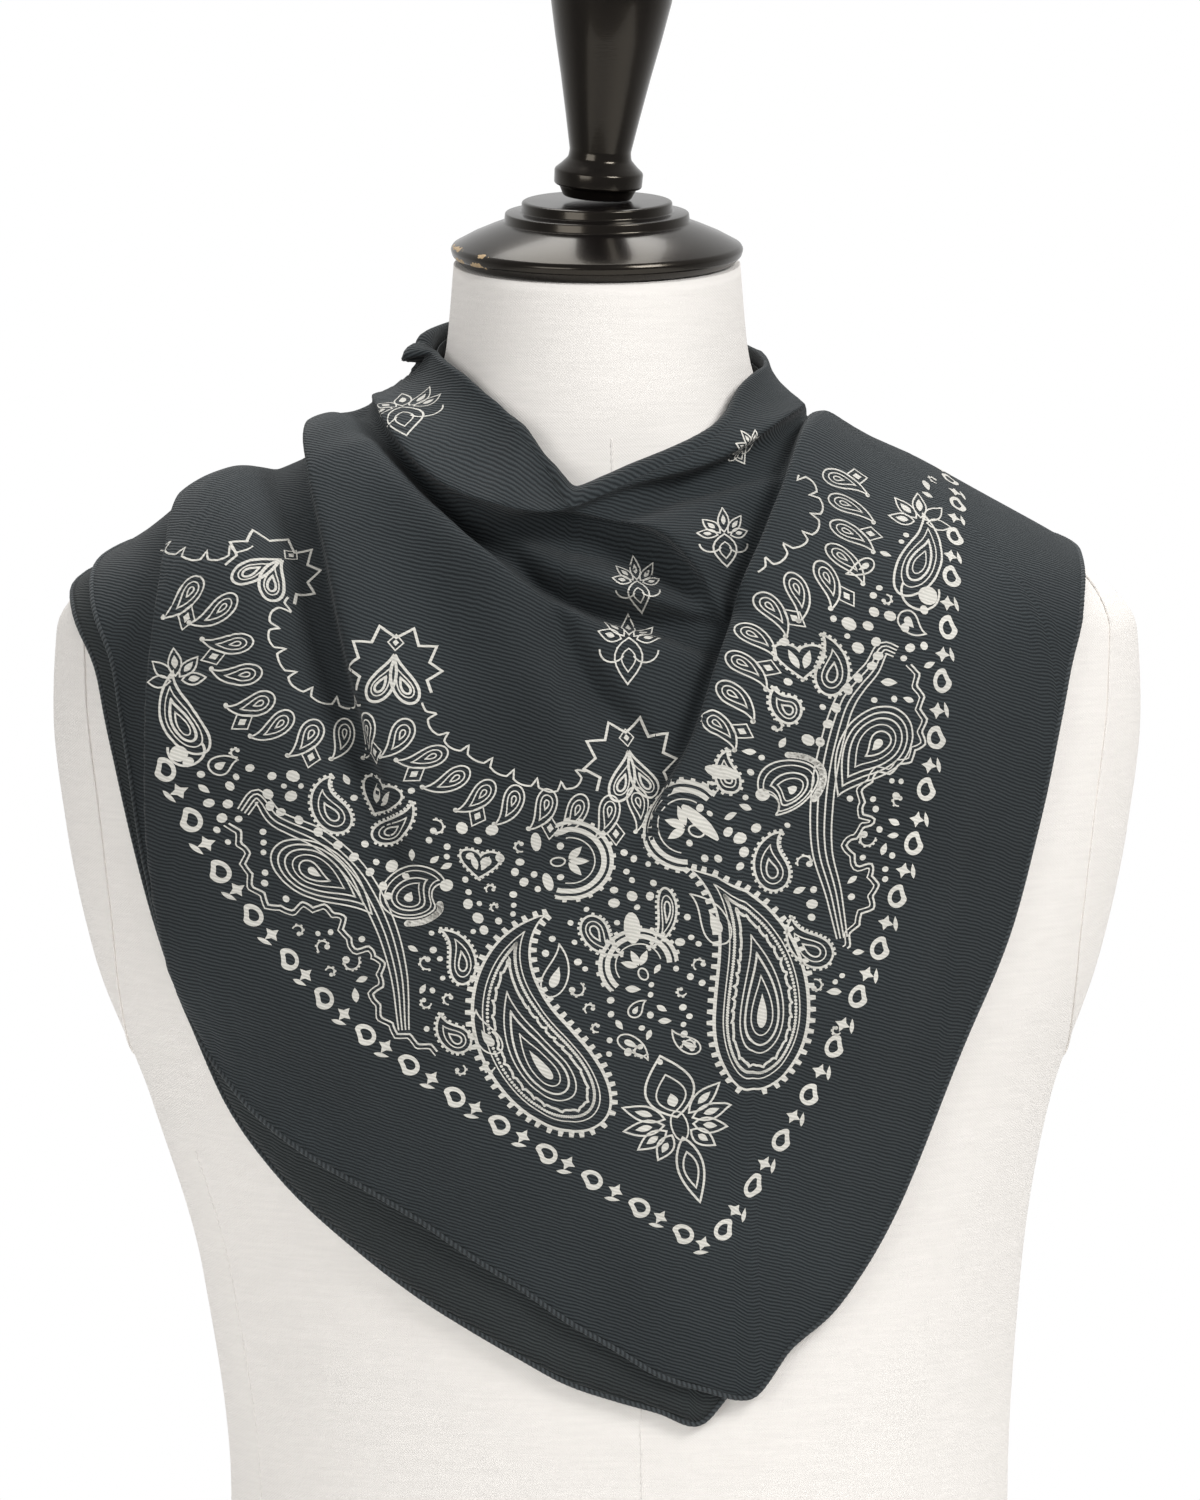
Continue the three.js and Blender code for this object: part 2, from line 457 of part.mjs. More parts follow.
// A knot: a rounded lump with a groove across it where one end wraps over the other
function knot(material) {
  const geometry = new THREE.SphereGeometry(1, 20, 14);
  const position = geometry.attributes.position;
  const point = new THREE.Vector3();
  for (let i = 0; i < position.count; i++) {
    point.fromBufferAttribute(position, i);
    const pinch = 1 - KNOT.groove * Math.exp(-((point.x * 0.6 + point.y * 0.8 - 0.25) ** 2) / 0.03);
    point.multiplyScalar(pinch);
    position.setXYZ(i, point.x * KNOT.halfWidth, point.y * KNOT.halfHeight, point.z * KNOT.halfDepth);
  }
  const mesh = new THREE.Mesh(geometry, material);
  mesh.name = "knot";
  const [place, out] = [formPoint(Math.PI, KNOT.run), formNormal(Math.PI, KNOT.run)];
  mesh.position.copy(place.addScaledVector(out, KNOT.stand));
  const up = new THREE.Vector3(0, out.z, -out.y).negate();
  mesh.setRotationFromMatrix(new THREE.Matrix4().makeBasis(up.clone().cross(out), up, out));
  return mesh;
}

function tail(row, material) {
  const halfWidthAt = smoothTable(TAIL_WIDTHS.map((w) => w.down), TAIL_WIDTHS.map((w) => w.half));
  const start = KNOT.run + KNOT.halfHeight + row.gap;
  const [outer, inner] = [[], []];
  for (let i = 0; i <= TAIL_GRID.along; i++) {
    const across = (2 * i) / TAIL_GRID.along - 1;
    const [outerRow, innerRow] = [[], []];
    for (let j = 0; j <= TAIL_GRID.down; j++) {
      const down = j / TAIL_GRID.down;
      const run = start + down * row.length;
      const radius = Math.abs(formPoint(Math.PI, run).y);
      const middle = THREE.MathUtils.lerp(row.from, row.to, down) * (1 + down);
      const aside = middle + across * halfWidthAt(down);
      const angle = Math.PI - aside / radius;
      const height = row.stand + TAIL_WAVE * Math.cos(across * 4) * (1 - down);
      const [place, normal] = [formPoint(angle, run), formNormal(angle, run)];
      outerRow.push(place.clone().addScaledVector(normal, height));
      innerRow.push(place.clone().addScaledVector(normal, height - CLOTH));
    }
    outer.push(outerRow);
    inner.push(innerRow);
  }
  return clothWall(row.name, outer.reverse(), inner.reverse(), material);
}

const linen = new THREE.MeshStandardMaterial({ color: 0xeee9e1, roughness: 0.95 });
const cotton = new THREE.MeshStandardMaterial({ color: 0x30363a, roughness: 0.9 });
const lacquer = new THREE.MeshStandardMaterial({ color: 0x0b0b0c, roughness: 0.15 });

const bandana = new THREE.Group();
const underRails = RAILS.map((row) => ({
  neckAt: row.neckAt,
  neckRun: row.neckRun + UNDER_NECK_DROP,
  hemAt: row.underAt,
  hemRun: row.underRun,
}));
bandana.add(
  clothStretch("front_layer", RAILS, FRONT_GRID, wrapHeight, cotton),
  clothStretch("left_end", [...LEFT_END_RAILS].reverse(), END_GRID, wrapHeight, cotton),
  clothStretch("right_end", [...RIGHT_END_RAILS].reverse(), END_GRID, wrapHeight, cotton),
  clothStretch("under_layer", underRails, UNDER_GRID, () => UNDER_OUT, cotton),
  knot(cotton),
  ...TAILS.map((row) => tail(row, cotton)),
);

const part = new THREE.Group();
part.add(formBody(linen), neckTop(lacquer), bandana);
export default part;
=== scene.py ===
"""A cotton paisley bandana, folded to a triangle and tied round the neck of a dress form.

The sizes of the form and of the drape are in millimetres here, as a pattern cutter writes
them, and each piece is turned to metres when its mesh is made.
"""

import math

import bpy
import numpy as np
from bpy.props import FloatProperty, FloatVectorProperty
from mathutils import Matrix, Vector
from mathutils.bvhtree import BVHTree
from mathutils.geometry import barycentric_transform


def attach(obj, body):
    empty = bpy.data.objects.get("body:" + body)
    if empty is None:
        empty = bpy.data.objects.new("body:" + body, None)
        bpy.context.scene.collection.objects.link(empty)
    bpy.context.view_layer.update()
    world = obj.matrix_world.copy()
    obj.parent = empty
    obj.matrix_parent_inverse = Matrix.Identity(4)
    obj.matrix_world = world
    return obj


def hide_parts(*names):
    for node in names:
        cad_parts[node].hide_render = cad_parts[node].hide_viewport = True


bl_info = {
    "name": "Paisley Bandana on a Dress Form",
    "version": (1, 0, 0),
    "blender": (4, 5, 0),
    "location": "View3D > Sidebar > Bandana",
    "description": "Builds the bandana, its print, the dress form and the stage",
    "category": "Object",
}

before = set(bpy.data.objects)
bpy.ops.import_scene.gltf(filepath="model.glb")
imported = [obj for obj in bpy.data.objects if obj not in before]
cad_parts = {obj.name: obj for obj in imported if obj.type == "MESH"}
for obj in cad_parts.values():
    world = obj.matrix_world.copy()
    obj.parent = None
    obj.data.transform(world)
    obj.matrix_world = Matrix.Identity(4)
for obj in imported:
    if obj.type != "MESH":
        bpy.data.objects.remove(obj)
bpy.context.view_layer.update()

MM = 0.001
BODY = "root"

# The form, from the neck down: height, half the width, depth to the front and to the back,
# how far its middle sits aside, and the power that squares its outline
FORM_COLUMNS = ("z", "half", "front", "back", "aside", "power")
FORM_SECTIONS = (
    (734, 59, 60, 57, 0, 2.0),
    (715, 60.5, 61, 58, 0, 2.0),
    (700, 62, 62, 60, 0, 2.0),
    (688, 65, 63.5, 63, 0, 2.0),
    (675, 73, 65.5, 69, 0, 2.0),
    (663, 92, 68, 77, 0, 1.95),
    (651, 119, 71, 88, 0, 1.9),
    (636, 153, 76, 101, 0, 1.95),
    (619, 186, 84, 110, 0, 2.05),
    (606, 207, 90, 115, 0, 2.15),
    (590, 217.5, 97, 119, 0, 2.25),
    (557, 219, 109, 124, 0, 2.35),
    (510, 214, 118, 126, 0, 2.35),
    (458, 203, 121, 123, 0, 2.3),
    (400, 182, 117, 112, 1.5, 2.25),
    (330, 166, 109, 101, 6, 2.2),
    (240, 158, 102, 95, 9, 2.2),
    (150, 166, 110, 110, 9, 2.25),
    (70, 175, 116, 121, 9, 2.3),
    (0, 172, 113, 117, 9, 2.3),
)
SECTION_STEPS = 150
NECK_TILT = math.radians(6)
TILT_FROM = 670
FORM_INSET = 1.9
ANGLE_STEP = 0.5  # degrees between the lines of the form's table of places
LONGEST_RUN = 1000

# Where the cloth lies, from the nape over the left shoulder, round the front and back to the
# nape: angle and run of the folded neck edge, of the front layer's hem and of the under one's
RAIL_COLUMNS = ("neck_at", "neck_run", "hem_at", "hem_run", "under_at", "under_run")
RAILS = (
    (-172, 45, -172, 61, -167, 66),
    (-162, 37, -161, 78, -158, 78),
    (-146, 29, -141, 110, -141, 106),
    (-128, 28, -121, 147, -121, 142),
    (-110, 29, -104, 178, -106, 182),
    (-92, 31, -90, 197, -90, 212),
    (-84, 32, -80, 208, -81, 219),
    (-77, 34, -72.8, 220, -75, 228),
    (-70, 36, -68.3, 248, -71, 250),
    (-63, 37.5, -66, 283, -68, 280),
    (-56, 39.5, -64.4, 316, -65.6, 312),
    (-50, 41.5, -61.7, 347, -63.4, 341),
    (-44.5, 44.5, -57.4, 364, -61.6, 370),
    (-39, 48, -50, 371, -55, 392),
    (-33.6, 51.5, -42.5, 375, -46, 405),
    (-28, 57, -35, 381, -37, 415),
    (-22, 63, -27, 391, -29, 422),
    (-14.5, 71, -18.5, 401, -20, 430),
    (-6.7, 80, -9.2, 413, -10, 439),
    (1, 76, 0.6, 424, 0.6, 445),
    (8, 72, 9, 434.5, 9, 450),
    (15, 69, 18, 442, 16.7, 456.5),
    (21, 66.5, 26.9, 448.5, 24, 444),
    (28, 63.5, 34.5, 432, 34, 426),
    (35, 60, 41, 424, 40.5, 418),
    (41, 56, 46.5, 410, 46, 404),
    (47, 51, 51.2, 391, 50.7, 385),
    (53, 46.5, 54.7, 367, 54.2, 361),
    (60, 43.5, 58, 333, 57.4, 328),
    (67, 42, 61.4, 304, 60.7, 299),
    (74, 41.5, 64.4, 268, 63.6, 263),
    (80, 41.5, 68.6, 231, 67.6, 227),
    (83, 41.5, 72.4, 214, 71.7, 210.5),
    (86.5, 41.5, 77.5, 201.5, 77, 197.5),
    (90, 41.3, 84, 194.5, 83.8, 190.5),
    (93, 41, 90, 191, 90, 187),
    (110, 39, 104, 173, 104, 169),
    (128, 36, 121, 144, 121, 140),
    (146, 33, 141, 109, 141, 105),
    (162, 38, 161, 79, 158, 79),
    (172, 45, 172, 61, 167, 67),
)
DOWN_POWER = 1.35
LAYER_STEPS = (280, 150)
UNDER_STEPS = (200, 60)
UNDER_OUT = 1.6
UNDER_NECK_DROP = 4
FRONT_LEAST = 4

# How far the wrap stands off the form between folds, by angle: at the neck edge, on the roll
# below it, on the chest or shoulder, lower down and at the hem
STAND_OFF_DOWN = (0, 0.12, 0.3, 0.6, 1)
STAND_OFF = (
    (-180, 12, 13, 12, 10, 9),
    (-150, 6, 9, 9, 8, 5),
    (-120, 5, 8, 10, 8, 4),
    (-90, 6, 10, 12, 8, 3.4),
    (-45, 6, 11, 13, 10, 3.6),
    (0, 10, 15, 14, 10, 3.8),
    (45, 6, 10, 8, 6.5, 3.6),
    (90, 5, 6.5, 5, 5, 4.6),
    (120, 5, 7, 7, 6, 4),
    (150, 6, 9, 9, 8, 5),
    (180, 12, 13, 12, 10, 9),
)

# Folds: each runs along places seen square from the front or the back (x, z and how far it
# rises there), and dies away over left and right, the two sides of someone who walks along
# it. Lean pushes a fold over its right side, so that it hangs over what lies below.
FOLD_COLUMNS = ("name", "view", "left", "right", "lean", "line")
FOLDS = (
    ("neck roll", "front", 14, 6, 10, (
        (-78, 674, 4), (-62, 659, 8), (-46, 648, 10), (-32, 645, 10), (-14, 651, 9), (9, 657, 8),
        (35, 661, 8), (56, 669, 7), (77, 676, 3))),
    ("kink of the roll", "front", 4, 7, 0, (
        (-22, 680, 1), (-27, 668, 3), (-30, 657, 4), (-34, 645, 3))),
    ("hollow beside the kink", "front", 7, 4, 0, (
        (-16, 676, -1), (-19, 665, -3), (-21, 655, -3))),
    ("hollow under the roll", "front", 5, 9, 0, (
        (88, 668, -5), (72, 657, -10), (56, 652, -12), (42, 647, -11), (26, 643, -7),
        (6, 640, -4))),
    ("second fold of the cowl", "front", 14, 5, 9, (
        (-32, 640, 4), (-15, 643, 8), (1, 642, 9), (17, 637, 10), (33, 627, 10), (43, 616, 8),
        (52, 603, 4))),
    ("hollow of the cowl", "front", 5, 9, 0, (
        (-36, 630, -7), (-14, 627, -12), (2, 624, -13), (17, 618, -13), (31, 610, -11),
        (43, 601, -7))),
    ("third fold of the cowl", "front", 8, 4, 4, (
        (-14, 613, 2), (8, 608, 6), (28, 603, 7), (50, 601, 5))),
    ("crease round the cowl", "front", 6, 6, 0, (
        (-90, 668, -6), (-76, 656, -9), (-64, 643, -13), (-50, 630, -14), (-38, 621, -13),
        (-18, 609, -12), (1, 600, -12), (21, 594, -11), (41, 591, -11), (58, 593, -8))),
    ("lip of the chest under the crease", "front", 5, 18, -3, (
        (-82, 652, 4), (-66, 634, 7), (-46, 614, 8), (-24, 599, 6), (-2, 589, 5), (20, 583, 4),
        (44, 580, 3))),
    ("swell of the left shoulder", "front", 16, 24, 0, (
        (-150, 655, 4), (-140, 630, 7), (-131, 600, 8), (-122, 562, 6), (-112, 520, 3))),
    ("trough down the left", "front", 7, 13, 0, (
        (-128, 676, -7), (-119, 655, -11), (-112, 628, -13), (-106, 600, -13), (-99, 572, -11),
        (-89, 545, -8), (-78, 512, -4), (-66, 470, -1))),
    ("ridge beside that trough", "front", 20, 5, 4, (
        (-112, 672, 6), (-104, 650, 9), (-99, 625, 10), (-94, 598, 10), (-88, 572, 9),
        (-80, 545, 6), (-70, 512, 3))),
    ("broad swell over the left chest", "front", 20, 20, 0, (
        (-72, 664, 2), (-54, 634, 5), (-36, 600, 7), (-20, 574, 7), (-4, 544, 5), (12, 505, 2))),
    ("crease to the middle", "front", 5, 12, 0, (
        (-24, 602, -3), (-12, 586, -9), (1, 570, -10), (13, 554, -8), (26, 534, -3))),
    ("edge of the right side, lying over", "front", 34, 5, 9, (
        (94, 672, 4), (86, 664, 9), (81, 652, 12), (77, 636, 13), (71, 618, 13), (65, 603, 13),
        (59, 588, 12), (48, 562, 10), (41, 546, 9), (27, 521, 6), (20, 505, 2))),
    ("hollow beside the right side's edge", "front", 4, 13, 0, (
        (74, 646, -4), (68, 630, -8), (61, 611, -9), (54, 593, -9), (44, 570, -8), (34, 548, -6),
        (22, 525, -3))),
    ("folded edge at the left", "front", 24, 3, 7, (
        (-158, 632, 3), (-161, 604, 7), (-163, 560, 9), (-163, 520, 9), (-160, 482, 8),
        (-156, 455, 5), (-150, 430, 1))),
    ("swell along the right shoulder", "front", 24, 16, 0, (
        (126, 655, 2), (128, 615, 4), (116, 560, 4), (92, 500, 2))),
    ("long soft trough at the right", "front", 22, 18, 0, (
        (160, 610, -1), (162, 560, -3), (150, 500, -3), (130, 440, -1))),
    ("soft ridge down the right", "front", 14, 18, 0, (
        (142, 600, 1), (140, 540, 2.5), (122, 470, 2.5), (98, 410, 1))),
    ("soft trough above the tip", "front", 18, 18, 0, (
        (14, 500, -1), (26, 470, -4), (38, 430, -3), (42, 390, -1))),
    ("slack across the lower left", "front", 12, 20, 0, (
        (-150, 470, 1), (-110, 440, 3), (-60, 405, 3), (-20, 372, 2))),
    ("upper fold to the knot, left", "back", 8, 8, 0, (
        (-22, 680, 5), (-48, 678, 5), (-74, 668, 3), (-96, 658, 1))),
    ("lower fold to the knot, left", "back", 9, 9, 0, (
        (-22, 668, 5), (-54, 654, 6), (-94, 646, 4), (-128, 638, 2))),
    ("upper fold to the knot, right", "back", 7, 9, 0, (
        (22, 678, 4), (50, 674, 6), (80, 662, 3))),
    ("lower fold to the knot, right", "back", 9, 9, 0, (
        (22, 666, 5), (58, 652, 5), (100, 644, 3), (124, 638, 1))),
)
FOLD_SAMPLES = 14
# Slow waves of slack cloth: height, and how they turn with the angle and the run
SLACK = ((0.7, 9.0, 31.0, 0.4), (0.5, -5.5, 47.0, 2.1), (0.35, 3.1, -23.0, 4.0))
FOLD_END = 9
FAN_ROWS = 24
EDGE_STEP = 1.5
FLATTENING = ((8, 300), (4, 40), (1, 0))  # step between points, rounds

# The camera: far off, a little above, square to the front
CAMERA_FAR = 4000
CAMERA_UP = math.radians(5)
PICTURE_HIGH = 591.0  # what the photograph's height takes in at the form
PICTURE_MIDDLE = (1.2, -60.0, 544.6)


def smooth_table(knots, values):
    """A smooth curve through a table's points that never overshoots them."""
    knots, values = np.asarray(knots, float), np.asarray(values, float)
    width = np.diff(knots)
    slope = np.diff(values) / width
    before, after = slope[:-1], slope[1:]
    same_way = before * after > 0
    total = np.where(same_way, before + after, 1)
    inner = np.where(same_way, 2 * before * after / total, 0)
    tangent = np.concatenate([slope[:1], inner, slope[-1:]])

    def curve(x):
        at = np.clip(x, knots[0], knots[-1])
        i = np.clip(np.searchsorted(knots, at, side="right") - 1, 0, len(width) - 1)
        t = (at - knots[i]) / width[i]
        bend = t * (1 - t) * width[i]
        ease = t * t * (3 - 2 * t)
        rise = values[i] + ease * (values[i + 1] - values[i])
        return rise + bend * ((1 - t) * tangent[i] - t * tangent[i + 1])

    return curve


def unit(vectors):
    return vectors / np.maximum(np.linalg.norm(vectors, axis=-1, keepdims=True), 1e-9)


def headings(line):
    """The way that a line runs, at each of its points."""
    return unit(np.gradient(line, axis=0))


def rightward(ways):
    """Flat directions, turned a quarter to the right."""
    return np.stack([ways[..., 1], -ways[..., 0]], axis=-1)


def reach_along(line):
    """How far along a line each of its points is."""
    return np.concatenate([[0], np.cumsum(np.linalg.norm(np.diff(line, axis=0), axis=1))])


class FormSurface:
    """The dress form's outline as a table of places by angle and by run down from the neck."""

    def __init__(self):
        sections = np.array(FORM_SECTIONS, float)
        steps = np.hypot(np.diff(sections[:, 0]), np.diff(sections[:, 1]))
        reach = np.concatenate([[0], np.cumsum(steps)])
        at = np.linspace(0, reach[-1], SECTION_STEPS + 1)
        self.rows = {name: smooth_table(reach, sections[:, i])(at)
                     for i, name in enumerate(FORM_COLUMNS)}
        angles = np.arange(-180, 180 + ANGLE_STEP, ANGLE_STEP)
        lines = self.lines(np.radians(angles))
        runs = np.arange(LONGEST_RUN + 1)
        self.places = np.empty((len(angles), len(runs), 3))
        for i, line in enumerate(lines):
            along = reach_along(line)
            for axis in range(3):
                self.places[i, :, axis] = np.interp(runs, along, line[:, axis])
        turn, step = 3, 3
        padded = np.concatenate([self.places[-1 - turn:-1], self.places, self.places[1:1 + turn]])
        round_it = padded[2 * turn:] - padded[:-2 * turn]
        down = np.empty_like(self.places)
        down[:, step:-step] = self.places[:, 2 * step:] - self.places[:, :-2 * step]
        down[:, :step] = down[:, step:step + 1]
        down[:, -step:] = down[:, -step - 1:-step]
        self.normals = unit(np.cross(down, round_it))

    def lines(self, angles):
        """The form's lines down from the neck at some angles, a point for each section."""
        row = self.rows
        sine, cosine = np.sin(angles)[:, None], np.cos(angles)[:, None]
        depth = np.where(cosine > 0, row["front"], row["back"])
        across = np.abs(sine / row["half"]) ** row["power"]
        along = np.abs(cosine / depth) ** row["power"]
        radius = (across + along) ** (-1 / row["power"])
        x, y = row["aside"] + radius * sine, -radius * cosine
        share = np.clip((row["z"] - TILT_FROM) / (row["z"][0] - TILT_FROM), 0, 1)
        slope = math.tan(NECK_TILT) * share * share * (3 - 2 * share)
        return np.stack([x, y, row["z"] + y * slope], axis=-1)

    def at(self, angle, run):
        """Places and normals at angles in degrees and runs in millimetres."""
        i = np.clip((np.asarray(angle) + 180) / ANGLE_STEP, 0, len(self.places) - 1.001)
        j = np.clip(np.asarray(run), 0, LONGEST_RUN - 0.001)
        i0, j0 = i.astype(int), j.astype(int)
        s, t = (i - i0)[..., None], (j - j0)[..., None]

        def mixed(table):
            upper = table[i0, j0] * (1 - t) + table[i0, j0 + 1] * t
            lower = table[i0 + 1, j0] * (1 - t) + table[i0 + 1, j0 + 1] * t
            return upper * (1 - s) + lower * s

        return mixed(self.places), unit(mixed(self.normals))

    def seen(self, x, z, view):
        """The place on the front or back that is seen square at x and z."""
        i = int(np.argmin(np.abs(self.rows["z"] - z)))
        row = {name: values[i] for name, values in self.rows.items()}
        share = min(abs(x - row["aside"]) / row["half"], 1)
        depth = -row["front"] if view == "front" else row["back"]
        return x, depth * (1 - share ** row["power"]) ** (1 / row["power"]), row["z"]


FORM = FormSurface()


def spline(points, count):
    """A smooth curve through points, as count points, with the share of the way of each."""
    points = np.asarray(points, float)
    chord = np.linalg.norm(np.diff(points, axis=0), axis=1) ** 0.5
    knots = np.concatenate([[0], np.cumsum(np.maximum(chord, 1e-6))])
    tangent = np.gradient(points, knots, axis=0, edge_order=1)
    at = np.linspace(0, knots[-1], count)
    i = np.clip(np.searchsorted(knots, at, side="right") - 1, 0, len(knots) - 2)
    width = (knots[i + 1] - knots[i])[:, None]
    t = ((at - knots[i])[:, None]) / width
    value = ((1 + 2 * t) * (1 - t) ** 2 * points[i] + t * (1 - t) ** 2 * width * tangent[i]
             + t * t * (3 - 2 * t) * points[i + 1] + t * t * (t - 1) * width * tangent[i + 1])
    return value, i + t[:, 0]


def fold_effect(places, normals):
    """The height that the folds add at some places, and how far they push them sideways."""
    height = np.zeros(len(places))
    push = np.zeros_like(places)
    for row in FOLDS:
        fold = dict(zip(FOLD_COLUMNS, row))
        seen = [FORM.seen(x, z, fold["view"]) for x, z, _ in fold["line"]]
        line, share = spline(seen, FOLD_SAMPLES * (len(seen) - 1) + 1)
        rises = smooth_table(np.arange(len(seen)), [rise for _, _, rise in fold["line"]])(share)
        heading = headings(line)
        reach = 3.2 * max(fold["left"], fold["right"]) + FOLD_END
        low, high = line.min(0) - reach, line.max(0) + reach
        near = np.flatnonzero(np.all((places > low) & (places < high), axis=1))
        for part in np.array_split(near, max(1, len(near) // 20000)):
            offset = places[part][:, None] - line[None]
            nearest = np.argmin((offset ** 2).sum(-1), axis=1)
            offset = offset[np.arange(len(part)), nearest]
            way = heading[nearest]
            leftward = unit(np.cross(normals[part], way))
            aside = (leftward * offset).sum(-1)
            onward = (way * offset).sum(-1)
            spread = np.where(aside > 0, fold["left"], fold["right"])
            share_of = np.exp(-((aside / spread) ** 2) - (onward / FOLD_END) ** 2)
            most = max(abs(rises).max(), 1e-6)
            height[part] += rises[nearest] * share_of
            lean = fold["lean"] * np.abs(rises[nearest]) / most
            push[part] -= leftward * (lean * share_of)[:, None]
    return height, push


def cloth_grid(neck, hem, steps, neck_drop=0.0):
    """Angles, runs and shares down of a layer's grid between its neck edge and its hem."""
    table = np.array(RAILS, float)
    at = np.linspace(0, len(table) - 1, steps[0] + 1)
    knots = np.arange(len(table))
    columns = {name: smooth_table(knots, table[:, i])(at)[:, None]
               for i, name in enumerate(RAIL_COLUMNS)}
    down = (np.linspace(0, 1, steps[1] + 1) ** DOWN_POWER)[None]
    top_run = columns[neck + "_run"] + neck_drop
    angle = columns[neck + "_at"] * (1 - down) + columns[hem + "_at"] * down
    run = top_run * (1 - down) + columns[hem + "_run"] * down
    return angle, run, np.broadcast_to(down, angle.shape)


def wrap_heights(angle, run, down):
    """Heights of the front layer's outer face, with its folds, and their sideways push."""
    table = np.array(STAND_OFF, float)
    by_angle = [smooth_table(table[:, 0], table[:, i + 1])(angle) for i in range(5)]
    plain = np.zeros_like(angle)
    for j, share in enumerate(down[0]):
        knots = np.array(STAND_OFF_DOWN)
        k = int(np.clip(np.searchsorted(knots, share, side="right") - 1, 0, 3))
        t = (share - knots[k]) / (knots[k + 1] - knots[k])
        ease = t * t * (3 - 2 * t)
        plain[:, j] = by_angle[k][:, j] * (1 - ease) + by_angle[k + 1][:, j] * ease
    places, normals = FORM.at(angle, run)
    flat_places, flat_normals = places.reshape(-1, 3), normals.reshape(-1, 3)
    height, push = fold_effect(flat_places, flat_normals)
    slack = sum(high * np.sin(angle / turn + run / reach + at) for high, turn, reach, at in SLACK)
    spare = plain + height.reshape(angle.shape) + slack * down - FRONT_LEAST
    return FRONT_LEAST + 0.5 * (spare + np.hypot(spare, 1.2)) - 0.3, push.reshape(places.shape)


def crossing(middle, radius, other, reach, side):
    """Where two circles cross in the plane, on one side of the line between their middles."""
    gap = other - middle
    apart = max(np.hypot(*gap), 1e-6)
    along = np.clip((radius ** 2 - reach ** 2 + apart ** 2) / (2 * apart), -radius, radius)
    across = math.sqrt(max(radius ** 2 - along ** 2, 0.0))
    way = gap / apart
    return middle + way * along + side * across * np.array([-way[1], way[0]])


def fanned(points, first):
    """Rough flat places of a grid: its columns laid out as a fan, from the middle both ways."""
    top = points[:, first:]
    step = (len(top) - 1) // (len(RAILS) - 1)
    at = np.arange(0, len(top), step)
    edge = np.linalg.norm(np.diff(top[:, [0, -1]], axis=0), axis=-1)
    round_it = np.concatenate([np.zeros((1, 2)), np.cumsum(edge, axis=0)])[at]
    down = np.concatenate([np.zeros((len(top), 1)), np.cumsum(
        np.linalg.norm(np.diff(top, axis=1), axis=-1), axis=1)], axis=1)
    middle = int(np.argmax(down[at, -1]))
    neck, hem = np.zeros((2, len(at), 2))
    hem[middle] = (0, -down[at[middle], -1])
    for turn in (1, -1):
        last = len(at) - 1 if turn > 0 else 0
        for k in range(middle, last, turn):
            onward = unit(top[at[k + turn], 0] - top[at[k], 0])
            falling = unit(top[at[k], FAN_ROWS] - top[at[k], 0])
            lean = math.acos(np.clip((onward * falling).sum(), -1, 1)) * turn
            ray = unit(hem[k] - neck[k])
            c, s = math.cos(lean), math.sin(lean)
            steps = np.abs(round_it[k + turn] - round_it[k])
            neck[k + turn] = neck[k] + steps[0] * np.array([c * ray[0] - s * ray[1],
                                                            s * ray[0] + c * ray[1]])
            hem[k + turn] = crossing(neck[k + turn], down[at[k + turn], -1], hem[k], steps[1],
                                     turn)
    everywhere = np.arange(len(top))
    ends = [np.stack([np.interp(everywhere, at, row[:, axis]) for axis in range(2)], axis=-1)
            for row in (neck, hem)]
    share = (down / down[:, -1:])[..., None]
    flat = ends[0][:, None] * (1 - share) + ends[1][:, None] * share
    upward = unit(ends[0] - ends[1])
    above = [(ends[0] + upward * EDGE_STEP * k)[:, None] for k in range(first, 0, -1)]
    return np.concatenate([*above, flat], axis=1)


def relaxed(flat, points, rounds):
    """Flat places pulled towards the cloth's own lengths, as a net of springs would."""
    flat = flat.copy()
    pairs = [((slice(1, None), slice(None)), (slice(None, -1), slice(None))),
             ((slice(None), slice(1, None)), (slice(None), slice(None, -1))),
             ((slice(1, None), slice(1, None)), (slice(None, -1), slice(None, -1))),
             ((slice(1, None), slice(None, -1)), (slice(None, -1), slice(1, None)))]
    rests = [np.linalg.norm(points[a] - points[b], axis=-1, keepdims=True) for a, b in pairs]
    for _ in range(rounds):
        move = np.zeros_like(flat)
        for (a, b), rest in zip(pairs, rests):
            gap = flat[a] - flat[b]
            length = np.maximum(np.linalg.norm(gap, axis=-1, keepdims=True), 1e-6)
            pull = gap * ((rest - length) / length) * 0.12
            move[a] += pull
            move[b] -= pull
        flat += move
    return flat


def flattened(points, first=0):
    """Flat places of a draped grid without its folds, whose short lengths would tangle."""
    known, flat = None, None
    start = fanned(points, first)
    for step, rounds in FLATTENING:
        rows = np.unique(np.append(np.arange(0, points.shape[0], step), points.shape[0] - 1))
        columns = np.unique(np.append(np.arange(0, points.shape[1], step), points.shape[1] - 1))
        cells = np.ix_(rows, columns)
        flat = start[cells] if known is None else between(flat, known, (rows, columns))
        flat, known = relaxed(flat, points[cells], rounds), (rows, columns)
    return flat


def between(flat, known, wanted):
    """A table of flat places, read off between its known rows and columns."""
    down = np.stack([np.stack([np.interp(wanted[1], known[1], row[:, axis]) for row in flat])
                     for axis in range(2)], axis=-1)
    return np.stack([np.stack([np.interp(wanted[0], known[0], down[:, j, axis])
                               for j in range(down.shape[1])], axis=1)
                     for axis in range(2)], axis=-1)


def deselect():
    for other in bpy.context.selected_objects:
        other.select_set(False)


def only(obj):
    deselect()
    obj.select_set(True)
    bpy.context.view_layer.objects.active = obj


